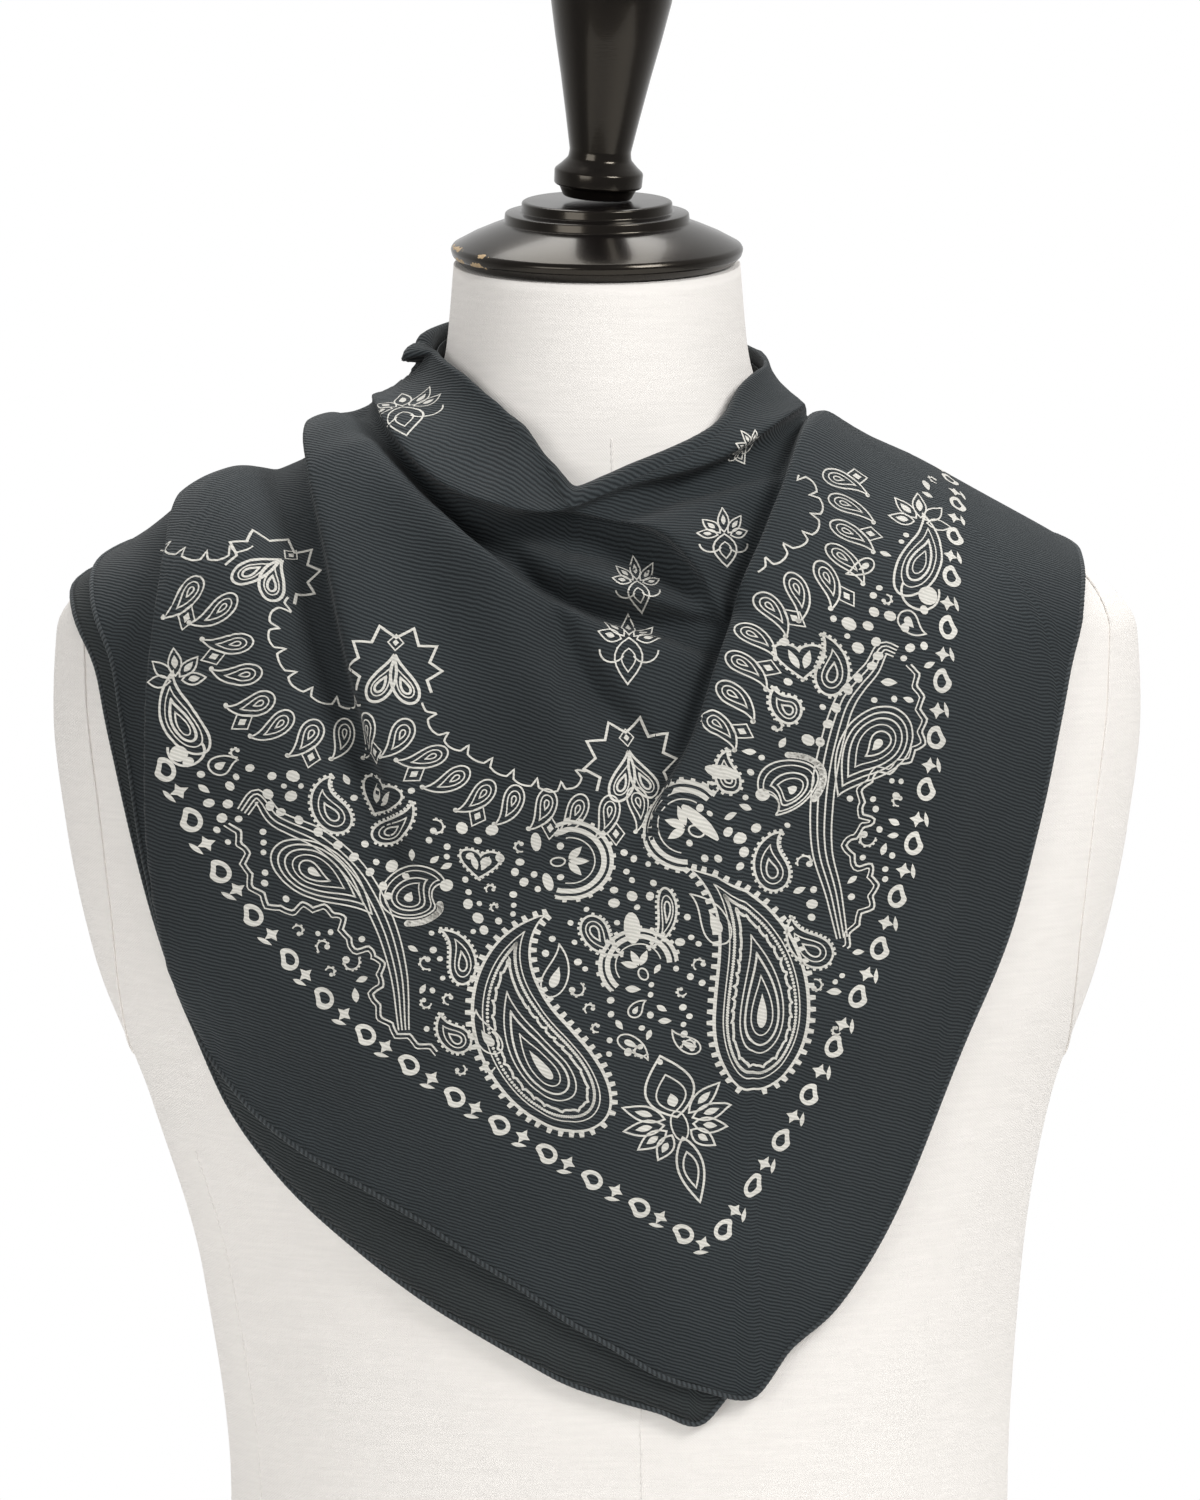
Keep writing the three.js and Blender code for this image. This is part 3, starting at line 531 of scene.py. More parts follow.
def grid_piece(name, points, flat=None, closed=False):
    """A grid primitive laid over a table of points, in millimetres, with its own flat map."""
    deselect()
    rows, columns = points.shape[:2]
    bpy.ops.mesh.primitive_grid_add(x_subdivisions=rows - 1, y_subdivisions=columns - 1, size=1)
    piece = bpy.context.object
    piece.name = piece.data.name = name
    mesh = piece.data
    count = len(mesh.vertices)
    places = np.empty(count * 3)
    mesh.vertices.foreach_get("co", places)
    places = places.reshape(-1, 3)
    i = np.rint((places[:, 0] + 0.5) * (rows - 1)).astype(int)
    j = np.rint((0.5 - places[:, 1]) * (columns - 1)).astype(int)
    mesh.vertices.foreach_set("co", (points[i, j] * MM).ravel())
    corners = np.empty(len(mesh.loops), int)
    mesh.loops.foreach_get("vertex_index", corners)
    if flat is not None:
        layer = mesh.uv_layers.active or mesh.uv_layers.new(name="flat")
        layer.name = "flat"
        layer.data.foreach_set("uv", (flat[i, j] * MM)[corners].ravel())
    mesh.update()
    only(piece)
    bpy.ops.object.mode_set(mode="EDIT")
    bpy.ops.mesh.select_all(action="SELECT")
    if closed:
        bpy.ops.mesh.remove_doubles(threshold=1e-6)
        bpy.ops.mesh.normals_make_consistent(inside=False)
    bpy.ops.object.mode_set(mode="OBJECT")
    bpy.ops.object.shade_smooth()
    return piece


def add_modifier(piece, kind, **settings):
    only(piece)
    modifier = piece.modifiers.new(kind.title(), kind)
    for key, value in settings.items():
        setattr(modifier, key, value)
    bpy.ops.object.modifier_apply(modifier=modifier.name)


def give(piece, material, replaced=()):
    """The piece's finish, the body it rides on and the CAD nodes that it stands for."""
    piece.data.materials.clear()
    piece.data.materials.append(material)
    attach(piece, BODY)
    if replaced:
        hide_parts(*replaced)
    return piece


# Materials
LINEN_PITCH = 0.0011  # from thread to thread of the form's cover, in metres
HEM_STITCH = 0.0021  # from stitch to stitch of the rolled hem, in metres


class Nodes:
    """A short hand for a node tree: new nodes with their values, and links by name."""

    def __init__(self, tree):
        self.tree = tree

    def link(self, value, socket):
        """Another socket's value, or a plain one, for a socket."""
        if isinstance(value, bpy.types.NodeSocket):
            self.tree.links.new(value, socket)
        else:
            socket.default_value = value

    def add(self, kind, values=None, **settings):
        node = self.tree.nodes.new(kind)
        for key, value in settings.items():
            setattr(node, key, value)
        for key, value in (values or {}).items():
            self.link(value, node.inputs[key])
        return node

    def math(self, operation, *values):
        return self.add("ShaderNodeMath", dict(enumerate(values)), operation=operation).outputs[0]

    def mix(self, share, first, second):
        values = {0: share, 6: first, 7: second}
        return self.add("ShaderNodeMix", values, data_type="RGBA").outputs[2]

    def noise(self, vector, scale, detail=2.0, roughness=0.5):
        return self.add("ShaderNodeTexNoise", {
            "Vector": vector, "Scale": scale, "Detail": detail, "Roughness": roughness,
        }).outputs["Fac"]

    def stretched(self, vector, scale):
        return self.add("ShaderNodeMapping", {"Vector": vector, "Scale": scale}).outputs[0]

    def flat(self):
        return self.add("ShaderNodeUVMap", uv_map="flat").outputs[0]

    def places(self):
        return self.add("ShaderNodeTexCoord").outputs["Object"]

    def waves(self, turns):
        """A sine between nought and one."""
        return self.math("MULTIPLY_ADD", self.math("SINE", turns), 0.5, 0.5)

    def tint(self, shader, colour, tone):
        """The shader's colour, made lighter and darker by a tone."""
        scaled = self.add("ShaderNodeVectorMath", {0: colour, "Scale": tone}, operation="SCALE")
        self.link(scaled.outputs[0], shader.inputs["Base Color"])

    def bump(self, shader, height, strength, distance):
        values = {"Height": height, "Strength": strength, "Distance": distance}
        self.link(self.add("ShaderNodeBump", values).outputs[0], shader.inputs["Normal"])


def new_material(name):
    material = bpy.data.materials.new(name)
    material.use_nodes = True
    nodes = Nodes(material.node_tree)
    shader = material.node_tree.nodes["Principled BSDF"]
    return material, nodes, shader


def settle(shader, values):
    """The shader's plain values, each set on its socket."""
    for key, value in values.items():
        shader.inputs[key].default_value = value


def new_group(name, inputs, outputs):
    group = bpy.data.node_groups.new(name, "ShaderNodeTree")
    for label, kind, default in inputs:
        socket = group.interface.new_socket(label, in_out="INPUT", socket_type=kind)
        if default is not None:
            socket.default_value = default
    for label in outputs:
        group.interface.new_socket(label, in_out="OUTPUT", socket_type="NodeSocketFloat")
    nodes = Nodes(group)
    return group, nodes, nodes.add("NodeGroupInput").outputs, nodes.add("NodeGroupOutput").inputs


def twill_group():
    """Twill: slanting ribs made of short floats, from the flat cloth's own coordinates. The first
    output colours them with painted shade between the ribs and a painted lighter tone on their
    tops; the second is their height for the bump.
    """
    group, nodes, given, result = new_group(
        "Twill Weave",
        [("Vector", "NodeSocketVector", None), ("Pitch", "NodeSocketFloat", 0.00145),
         ("Slub", "NodeSocketFloat", 0.35)], ["Rib", "Height"])
    split = nodes.add("ShaderNodeSeparateXYZ", {0: given["Vector"]}).outputs
    wander = nodes.noise(given["Vector"], 160.0)
    drift = nodes.math("MULTIPLY", nodes.math("SUBTRACT", wander, 0.5), 0.9)
    slanted = nodes.math("MULTIPLY_ADD", split["X"], 0.42, split["Y"])
    lines = nodes.math("DIVIDE", slanted, given["Pitch"])
    rib = nodes.waves(nodes.math("MULTIPLY", nodes.math("ADD", lines, drift), 2 * math.pi))
    across = nodes.math("DIVIDE", split["X"], given["Pitch"])
    step = nodes.math("ADD", nodes.math("MULTIPLY", across, 2.2), lines)
    floats = nodes.waves(nodes.math("MULTIPLY", step, 2 * math.pi))
    rough = nodes.math("MULTIPLY", nodes.noise(given["Vector"], 2600.0, 1.0), given["Slub"])
    body = nodes.math("MULTIPLY", rib, nodes.math("MULTIPLY_ADD", floats, 0.2, 0.8))
    # Painted shade for the colour: darker between the ribs, lighter on their tops
    nodes.link(body, result["Rib"])
    nodes.link(nodes.math("ADD", body, rough), result["Height"])
    return group


def mottle_group():
    """Slow uneven changes of tone, for fading, handling and dust."""
    group, nodes, given, result = new_group(
        "Uneven Tone",
        [("Vector", "NodeSocketVector", None), ("Scale", "NodeSocketFloat", 12.0),
         ("Low", "NodeSocketFloat", 0.85), ("High", "NodeSocketFloat", 1.15)], ["Tone"])
    noise = nodes.noise(given["Vector"], given["Scale"], 4.0)
    spread = nodes.add("ShaderNodeMapRange", {
        "Value": noise, "From Min": 0.3, "From Max": 0.7, "To Min": given["Low"],
        "To Max": given["High"]})
    nodes.link(spread.outputs[0], result["Tone"])
    return group


def placed(nodes, group, **values):
    return nodes.add("ShaderNodeGroup", values, node_tree=group).outputs


def cotton_material(name, groups, dark, light):
    material, nodes, shader = new_material(name)
    twill = placed(nodes, groups["twill"], Vector=nodes.flat())
    tone = placed(nodes, groups["mottle"], Vector=nodes.places(), Scale=9.0, Low=0.82, High=1.2)
    # Painted shade in the twill: the colour is darker between the ribs and lighter on their tops
    nodes.tint(shader, nodes.mix(twill["Rib"], (*dark, 1), (*light, 1)), tone["Tone"])
    nodes.bump(shader, twill["Height"], 0.9, 0.00035)
    settle(shader, {"Roughness": 0.86, "Specular IOR Level": 0.25, "Sheen Weight": 0.1,
                    "Sheen Roughness": 0.45})
    return material


def linen_material(groups, colour):
    material, nodes, shader = new_material("warm_white_linen")
    places = nodes.places()
    split = nodes.add("ShaderNodeSeparateXYZ", {0: places}).outputs
    drift = nodes.math("MULTIPLY", nodes.noise(places, 90.0), 9.0)
    weft, warp = (nodes.math("SINE", nodes.math("ADD", nodes.math(
        "MULTIPLY", split[axis], 2 * math.pi / LINEN_PITCH), drift)) for axis in "ZX")
    cloth = nodes.math("MULTIPLY", weft, warp)
    slubs = nodes.noise(nodes.stretched(places, (60, 60, 700)), 1.0, 3.0)
    tone = placed(nodes, groups["mottle"], Vector=places, Scale=5.0, Low=0.965, High=1.02)
    fleck = nodes.math("MULTIPLY_ADD", nodes.math("SUBTRACT", slubs, 0.5), 0.12, 1)
    weave = nodes.math("MULTIPLY_ADD", cloth, 0.012, fleck)
    nodes.tint(shader, colour, nodes.math("MULTIPLY", weave, tone["Tone"]))
    nodes.bump(shader, nodes.math("ADD", cloth, nodes.math("MULTIPLY", slubs, 3.0)), 0.25, 0.0002)
    settle(shader, {"Roughness": 0.95, "Specular IOR Level": 0.15})
    return material


def lacquer_material():
    """Glossy black lacquer over turned wood, scuffed to the wood where wear is painted in."""
    material, nodes, shader = new_material("black_lacquer")
    places = nodes.places()
    wear = nodes.add("ShaderNodeAttribute", attribute_name="wear").outputs["Fac"]
    chips = nodes.noise(places, 95.0, 5.0, 0.65)
    bare = nodes.math("GREATER_THAN", nodes.math("MULTIPLY", chips, wear), 0.47)
    grain = nodes.noise(nodes.stretched(places, (900, 900, 60)), 1.0, 3.0)
    wood = nodes.mix(grain, (0.32, 0.2, 0.1, 1), (0.62, 0.47, 0.28, 1))
    black = nodes.mix(grain, (0.0035, 0.003, 0.003, 1), (0.008, 0.0065, 0.006, 1))
    nodes.link(nodes.mix(bare, black, wood), shader.inputs["Base Color"])
    polish = nodes.math("MULTIPLY_ADD", nodes.noise(places, 22.0, 4.0), 0.16, 0.12)
    nodes.link(nodes.math("MULTIPLY_ADD", bare, 0.45, polish), shader.inputs["Roughness"])
    scratches = nodes.noise(nodes.stretched(places, (400, 90, 2200)), 1.0)
    nodes.bump(shader, scratches, 0.05, 0.0003)
    settle(shader, {"Specular IOR Level": 0.4, "Specular Tint": (1.0, 0.88, 0.7, 1.0),
                    "Coat Weight": 0.12, "Coat Roughness": 0.05})
    return material


def hem_material(groups, dark, light):
    """The rolled hem: the same cotton, with overcast stitches slanting round it."""
    material, nodes, shader = new_material("rolled_hem")
    split = nodes.add("ShaderNodeSeparateXYZ", {0: nodes.flat()}).outputs
    slant = nodes.math("MULTIPLY_ADD", split["Y"], 0.55, split["X"])
    thread = nodes.waves(nodes.math("MULTIPLY", slant, 2 * math.pi / HEM_STITCH))
    tone = placed(nodes, groups["mottle"], Vector=nodes.places(), Scale=14.0, Low=0.85, High=1.25)
    # Painted shade: the colour is darker in the grooves between the stitches and lighter on their
    # crests
    nodes.tint(shader, nodes.mix(thread, (*dark, 1), (*light, 1)), tone["Tone"])
    nodes.bump(shader, thread, 0.7, 0.0004)
    settle(shader, {"Roughness": 0.85, "Sheen Weight": 0.12, "Sheen Roughness": 0.45})
    return material


def ink_material(groups, colour):
    """Off-white discharge print, with painted shade that darkens it between the twill's ribs."""
    material, nodes, shader = new_material("off_white_print")
    twill = placed(nodes, groups["twill"], Vector=nodes.flat())
    tone = placed(nodes, groups["mottle"], Vector=nodes.places(), Scale=40.0, Low=0.86, High=1.06)
    # Painted shade: the ink is darker between the twill's ribs
    ink_rib_shade = nodes.math("MULTIPLY_ADD", twill["Rib"], 0.22, 0.8)
    nodes.tint(shader, colour, nodes.math("MULTIPLY", ink_rib_shade, tone["Tone"]))
    nodes.bump(shader, twill["Height"], 0.5, 0.00035)
    settle(shader, {"Roughness": 0.9, "Specular IOR Level": 0.2, "Sheen Weight": 0.2})
    return material


MATERIALS = {}


def finish_named(name):
    """The finish of that name, made when it is first asked for."""
    if not MATERIALS:
        colours = bpy.context.scene.bandana_colours
        # dark and light: painted shade between the twill's ribs and a painted lighter tone on their
        # tops
        dark, light = tuple(colours.cloth_shaded_groove), tuple(colours.cloth_lit_rib)
        groups = {"twill": twill_group(), "mottle": mottle_group()}
        MATERIALS["printed"] = cotton_material("printed_twill", groups, dark, light)
        MATERIALS["plain"] = cotton_material(
            "plain_side", groups, tuple(colours.back_shaded_groove), tuple(colours.back_lit_rib))
        MATERIALS["hem"] = hem_material(groups, dark, light)
        MATERIALS["ink"] = ink_material(groups, tuple(colours.ink))
        MATERIALS["linen"] = linen_material(groups, tuple(colours.linen))
        MATERIALS["lacquer"] = lacquer_material()
    return MATERIALS[name]


# The cloth's layers, worked out once and shared by the pieces that lie on them


class Layer:
    """A draped layer: its grid of places, its flat places and its outward normals, in mm."""

    def __init__(self, points, flat, first_row):
        self.points, self.flat, self.first_row = points, flat, first_row
        along = np.gradient(points, axis=0)
        down = np.gradient(points, axis=1)
        self.normals = unit(np.cross(down, along))

    def hem(self):
        return self.points[:, -1], self.normals[:, -1]


LAYERS = {}
EDGE_ROWS = 9  # rows of the rounded fold at the neck
EDGE_FLAP = 12  # how far the folded edge runs back down on the inside
INNER_HEIGHT = 2.7


def with_edge(places, height, out, onward):
    """A grid of places with the rounded fold at the neck and its flap added over its first."""
    top = places[:, 0]
    radius = (height - INNER_HEIGHT)[:, None] / 2
    rows = [top - out * (height[:, None] - INNER_HEIGHT) + onward * EDGE_FLAP]
    for turn in np.linspace(-math.pi / 2, math.pi / 2, EDGE_ROWS + 1)[:-1]:
        middle = top - out * radius
        rows.append(middle + out * radius * math.sin(turn) - onward * radius * math.cos(turn))
    return np.concatenate([np.stack(rows, axis=1), places], axis=1)


def printed_layer():
    """The outer half of the square, nape to nape, with its rounded fold at the neck."""
    if "printed" not in LAYERS:
        angle, run, down = cloth_grid("neck", "hem", LAYER_STEPS)
        height, push = wrap_heights(angle, run, down)
        places, normals = FORM.at(angle, run)
        outer = places + normals * height[..., None] + push
        onward = unit(FORM.at(angle[:, :1], run[:, :1] + 4)[0] - places[:, :1])[:, 0]
        points = with_edge(outer, height[:, 0], normals[:, 0], onward)
        smooth = with_edge(places, height[:, 0], normals[:, 0], onward)
        rows = points.shape[1] - outer.shape[1]
        LAYERS["printed"] = Layer(points, flattened(smooth, rows), rows)
    return LAYERS["printed"]


def plain_layer():
    """The inner half of the square, which shows past the outer one's hem."""
    if "plain" not in LAYERS:
        angle, run, _ = cloth_grid("neck", "under", UNDER_STEPS, UNDER_NECK_DROP)
        places, normals = FORM.at(angle, run)
        LAYERS["plain"] = Layer(places + normals * UNDER_OUT, flattened(places), 0)
    return LAYERS["plain"]


def tube_along(name, line, out, radius, sides, ripple=0.0, pitch=2.1):
    """A closed tube along a line, with a rippled surface where thread is drawn round it."""
    heading = headings(line)
    side = unit(np.cross(heading, out))
    upright = np.cross(side, heading)
    along = reach_along(line)
    turns = np.linspace(0, 2 * math.pi, sides + 1)
    size = radius * (1 + ripple * np.cos(2 * math.pi * along[:, None] / pitch + turns[None]))
    ring = (side[:, None] * np.cos(turns)[None, :, None]
            + upright[:, None] * np.sin(turns)[None, :, None])
    points = line[:, None] + ring * size[..., None]
    middle = np.repeat(line[[0, -1]][:, None], sides + 1, axis=1)
    points = np.concatenate([middle[:1], points, middle[1:]], axis=0)
    around = turns * radius
    reach = np.concatenate([along[:1], along, along[-1:]])
    flat = np.stack(np.broadcast_arrays(reach[:, None], around[None]), axis=-1)
    return grid_piece(name, points, flat, closed=True)


def resampled(line, step, *others):
    """A line's points at even steps along it, and other rows of values at the same places."""
    along = reach_along(line)
    at = np.linspace(0, along[-1], max(int(along[-1] / step), 2) + 1)
    return [np.stack([np.interp(at, along, rows[:, k]) for k in range(rows.shape[1])], axis=-1)
            for rows in (line, *others)]


# The print: traditional paisley motifs, each drawn by formula in the cloth's own millimetres.
# A motif's place is where the picture shows it, across and down its 1200 by 1500 frame.
PIXEL = 0.394  # millimetres at the form for one step of that frame
FRAME_MIDDLE = (600, 750)
INK_LIFT = 0.15
INK_STEP = 1.7
LINE = 0.62
FINE_LINE = 0.48

CHAIN = (
    (152, 745), (167, 775), (189, 817), (213, 862), (243, 903), (275, 943), (308, 982),
    (342, 1016), (380, 1046), (424, 1076), (467, 1106), (510, 1132), (556, 1160),
    (602, 1186), (650, 1214), (686, 1236), (707, 1247), (722, 1233), (746, 1200),
    (776, 1150), (805, 1103), (835, 1046), (857, 1000), (876, 960), (894, 908),
    (911, 856), (923, 805), (934, 755), (941, 700), (947, 640), (952, 580), (956, 530),
    (957, 492))
CHAIN_PITCH = 19.6
CHAIN_CORNER = 16  # which of these places is the corner
DROP_ROWS = (
    ((166, 594), (192, 600), (214, 612), (226, 638), (234, 666), (247, 698), (272, 727),
     (308, 740), (343, 740), (374, 737), (407, 744), (432, 768), (459, 789), (490, 803),
     (520, 808), (548, 812), (575, 816), (604, 818), (632, 812), (652, 800)),
    ((712, 745), (735, 706), (748, 668), (762, 630), (786, 602), (812, 592), (838, 578),
     (851, 552), (853, 520), (848, 492), (838, 464)),
)
DROP_PITCH = 11.8
DROP_SIZE = 17.5
ZIGZAGS = (
    ((163, 548), (190, 556), (215, 557), (235, 552), (252, 545)),
    ((292, 600), (272, 622), (273, 640), (283, 662), (296, 684), (320, 699), (345, 705),
     (361, 701)),
    ((426, 702), (431, 722), (447, 741), (478, 758), (510, 776), (545, 787), (572, 785),
     (585, 770)),
    ((756, 569), (777, 560), (790, 548), (806, 539), (816, 524), (819, 505), (812, 486),
     (800, 474)),
)
ZIGZAG_PITCH = 9.5
ZIGZAG_STEP = 0.45
CROWNS = (((250, 592), (300, 546)), ((392, 705), (397, 628)), ((636, 802), (624, 722)))
SPRIGS = (((405, 428), (402, 394)), ((742, 460), (741, 431)), ((726, 560), (722, 508)),
          ((641, 604), (633, 556)), ((628, 674), (628, 614)))
# Paisleys: round head, tip, width, curl towards the right of someone who goes to the tip
BIG_PAISLEYS = (((604, 1122), (548, 914), 37, 1.9), ((752, 1090), (688, 868), 36, -1.2))
PAISLEYS = (
    ((589, 916), (622, 954), 9.5, -1.2), ((664, 888), (648, 948), 6.5, 1.2),
    ((782, 888), (782, 832), 12, 1.7), ((800, 716), (774, 688), 9.5, 1.3),
    ((825, 694), (822, 634), 11, -1.2), ((349, 828), (332, 776), 11.5, 1.9),
    ((372, 836), (412, 802), 9, -1.3), ((461, 984), (440, 930), 9.5, -1.5),
    ((470, 1046), (441, 1014), 10, 1.3), ((832, 958), (792, 917), 12, 1.4),
    ((735, 792), (728, 750), 8, 1.1),
)
HOOKED = (((404, 918), (446, 884), 21, 2.2), ((806, 800), (762, 796), 23, -2.2))
TEARS = (((547, 996), (559, 944), 9, -0.7), ((722, 944), (690, 894), 10, -0.8),
         ((700, 1050), (672, 1030), 6, 0.8), ((618, 1038), (648, 1060), 6, 0.8),
         ((500, 1052), (476, 1010), 8, 0.8), ((212, 772), (238, 760), 7, 0.9),
         ((902, 612), (926, 634), 7, -0.9), ((872, 560), (846, 574), 5, 0.5))
HEARTS = (((372, 818), (386, 772)), ((804, 684), (796, 634)), ((478, 882), (482, 842)))
# Half rounds: middle, how far out, the way that they open, in degrees
SCALLOPS = (((566, 861), 14.5, 180), ((640, 968), 13.5, 62), ((688, 828), 15, 20))
ARABESQUES = (
    dict(band=((243, 812), (256, 796), (262, 800), (276, 818), (318, 838), (356, 872),
               (384, 922), (399, 975), (404, 1030)),
         leaf=((272, 852), (372, 914)), wide=21, curl=0.5,
         edge=((232, 822), (246, 846), (252, 880), (280, 908), (308, 904), (340, 914),
               (352, 944), (376, 952), (384, 976), (376, 998), (392, 1026), (420, 1042),
               (438, 1050))),
    dict(band=((896, 652), (884, 648), (872, 668), (846, 700), (831, 745), (822, 800),
               (822, 850), (834, 896), (842, 938)),
         leaf=((906, 716), (838, 796)), wide=24, curl=-0.5,
         edge=((914, 664), (922, 700), (922, 745), (898, 768), (872, 778), (862, 806),
               (872, 822), (850, 842), (856, 862), (872, 868), (874, 902), (858, 922),
               (846, 948))),
)
PLUMES = (((206, 752), (166, 650)), ((900, 594), (925, 496)))
CURLS = (  # middle, size, turn
    ((426, 962), 4.6, 30), ((350, 962), 6.0, 120), ((324, 946), 4.6, -40), ((488, 1066), 4, 80),
    ((236, 752), 3.2, 20), ((576, 990), 5, 150), ((700, 964), 4.2, -30), ((816, 986), 4.2, 200),
    ((866, 838), 5.6, 90), ((898, 800), 3.6, 10), ((806, 862), 5, -60), ((640, 1050), 4.6, 60),
    ((690, 1046), 4.6, -80), ((712, 786), 3.6, 60), ((776, 726), 3.8, 200),
    ((436, 828), 5, 200), ((886, 600), 3.4, 170), ((520, 846), 3.6, 30), ((836, 1030), 3, 60))
DOTS = (  # middle, radius
    ((188, 762), 2.0), ((209, 803), 1.9), ((293, 776), 2.5), ((291, 796), 2.3), ((284, 786), 1.1),
    ((301, 786), 1.1), ((250, 768), 1.7), ((272, 776), 1.8), ((230, 786), 1.8), ((268, 794), 2.2),
    ((228, 804), 1.9), ((270, 806), 1.9), ((281, 812), 1.8), ((222, 818), 2.0), ((299, 820), 1.8),
    ((318, 832), 1.9), ((338, 845), 1.9), ((354, 857), 1.9), ((370, 872), 1.8), ((383, 886), 1.8),
    ((392, 866), 2.6), ((406, 876), 1.6), ((388, 896), 1.7), ((924, 610), 1.8), ((849, 624), 2.7),
    ((868, 626), 2.0), ((874, 612), 2.0), ((890, 616), 2.2), ((905, 628), 1.8), ((876, 642), 2.0),
    ((858, 648), 2.4), ((910, 648), 2.0), ((924, 646), 1.7), ((878, 656), 2.0), ((872, 666), 1.9),
    ((858, 678), 1.9), ((848, 690), 1.9), ((836, 708), 1.9), ((828, 724), 1.9), ((820, 742), 1.9),
    ((808, 740), 2.4), ((784, 642), 1.8), ((680, 942), 1.9), ((812, 904), 2.2), ((896, 796), 1.6),
    ((660, 1062), 1.2), ((628, 1052), 1.7), ((684, 1034), 1.5), ((520, 862), 1.7),
    ((524, 882), 1.9), ((486, 862), 2.2), ((500, 858), 1.9), ((515, 872), 1.7), ((470, 856), 1.6),
    ((614, 903), 2.2), ((632, 896), 2.2), ((650, 896), 1.8), ((614, 890), 1.6), ((632, 880), 1.3),
    ((700, 808), 1.5), ((740, 838), 2.4), ((756, 828), 1.9), ((744, 852), 2.0), ((728, 832), 1.8),
    ((468, 904), 2.1), ((478, 918), 2.3), ((484, 930), 1.9), ((462, 828), 2.4), ((492, 830), 2.4))
PALMETTE = ((660, 1056), (700, 1202))
# The ground that small fillers may take up, between the rows of tears and the border
GROUND = ((176, 650), (196, 700), (228, 752), (262, 768), (330, 776), (396, 776), (440, 810),
          (500, 838), (600, 848), (668, 824), (712, 780), (756, 700), (790, 640), (850, 604),
          (880, 540), (930, 470), (938, 560), (932, 650), (924, 750), (898, 840), (874, 930),
          (836, 1000), (806, 1010), (700, 1040), (640, 1052), (470, 1080), (400, 1034), (330, 976),
          (270, 910), (212, 826), (170, 756))
FILLER_PITCH = 5.2
GOLDEN_TURN = 2.39996
CROWN_LEAN = -0.36
FRILL_PITCH = 8.5
# On the hidden sides: how far inside the hem the border and the paisleys run, and their pitch
HIDDEN_CHAIN = (48, 56)
HIDDEN_ROW = 84
HIDDEN_PITCH = 24
SHARDS = ((632, 928, 3.0, 6.4, 180), (700, 822, 2.2, 8.4, 40), (722, 772, 2.6, 6.0, 70),
          (536, 842, 1.9, 3.6, 0), (548, 882, 1.9, 3.6, 10))


class Drop:
    """A curved teardrop from its round head to its tip; smaller ones nest along its spine."""

    def __init__(self, length, width, curl, count=46, base=0.3):
        share = np.linspace(0, 1, count)
        self.share = share * share * (3 - 2 * share)
        self.base = base
        head = np.sqrt(np.clip(1 - ((self.share - base) / base) ** 2, 0, 1))
        taper = np.cos(math.pi / 2 * np.clip((self.share - base) / (1 - base), 0, 1)) ** 1.15
        self.half = width / 2 * np.where(self.share < base, head, taper)
        self.fine = np.linspace(0, 1, 201)
        turn = curl * self.fine ** 2
        spine = np.stack([np.cumsum(np.sin(turn)), np.cumsum(np.cos(turn))], axis=1)
        spine = (spine - spine[0]) * length / np.hypot(*(spine[-1] - spine[0]))
        tip = math.atan2(spine[-1, 0], spine[-1, 1])
        spin = np.array([[math.cos(tip), math.sin(tip)], [-math.sin(tip), math.cos(tip)]])
        self.spine = spine @ spin
        self.side = np.stack([np.cos(turn), -np.sin(turn)], axis=1) @ spin
        self.middle = self.on(self.spine, np.array([base]))[0]

    def on(self, rows, at):
        return np.stack([np.interp(at, self.fine, rows[:, axis]) for axis in range(2)], axis=1)

    def outline(self, size=1.0, reach=None):
        at = self.base + (self.share - self.base) * (reach or size)
        spine, side = self.on(self.spine, at), self.on(self.side, at) * self.half[:, None] * size
        return np.concatenate([spine + side, (spine - side)[-2:0:-1]])


def nested(outline, share, middle=None):
    middle = outline.mean(axis=0) if middle is None else np.asarray(middle)
    return middle + (outline - middle) * share


def ellipse(middle, wide, high, turn=0.0, count=18):
    at = np.linspace(0, 2 * math.pi, count, endpoint=False)
    points = np.stack([np.cos(at) * wide, np.sin(at) * high], axis=1)
    c, s = math.cos(turn), math.sin(turn)
    return np.asarray(middle) + points @ np.array([[c, s], [-s, c]])


def petal(base, tip, width, count=9):
    """A lens between two points, sharp at both ends."""
    base, tip = np.asarray(base, float), np.asarray(tip, float)
    share = np.linspace(0, 1, count)[:, None]
    across = np.array([tip[1] - base[1], base[0] - tip[0]]) / max(np.hypot(*(tip - base)), 1e-6)
    bulge = np.sin(math.pi * share ** 0.85) * width / 2 * across
    spine = base + (tip - base) * share
    return np.concatenate([spine + bulge, (spine - bulge)[-2:0:-1]])


def diamond(middle, wide, high):
    return np.asarray(middle) + np.array([(0, high), (wide, 0), (0, -high), (-wide, 0)])


def arc(middle, radius, begin, end, count=30):
    at = np.radians(np.linspace(begin, end, count))
    return np.asarray(middle) + radius * np.stack([np.sin(at), np.cos(at)], axis=1)


def on_ray(turn, middle, aside, along=None):
    """A point at a turn in degrees round a middle that lies on a motif's own axis."""
    turn = math.radians(turn)
    return np.array([math.sin(turn) * aside,
                     middle + math.cos(turn) * (aside if along is None else along)])


def even(points, step, closed=False):
    """A polyline at even steps that keeps its corners."""
    points = np.asarray(points, float)
    if closed:
        points = np.concatenate([points, points[:1]])
    rows = [points[:1]]
    for start, end in zip(points, points[1:]):
        count = max(int(math.ceil(np.hypot(*(end - start)) / step)), 1)
        rows.append(start + (end - start) * np.linspace(0, 1, count + 1)[1:, None])
    line = np.concatenate(rows)
    return line[:-1] if closed else line


def flat_spline(points, step):
    """A smooth curve through flat points, at even steps."""
    curve, _ = spline(points, 24 * len(points))
    return resampled(curve, step)[0]


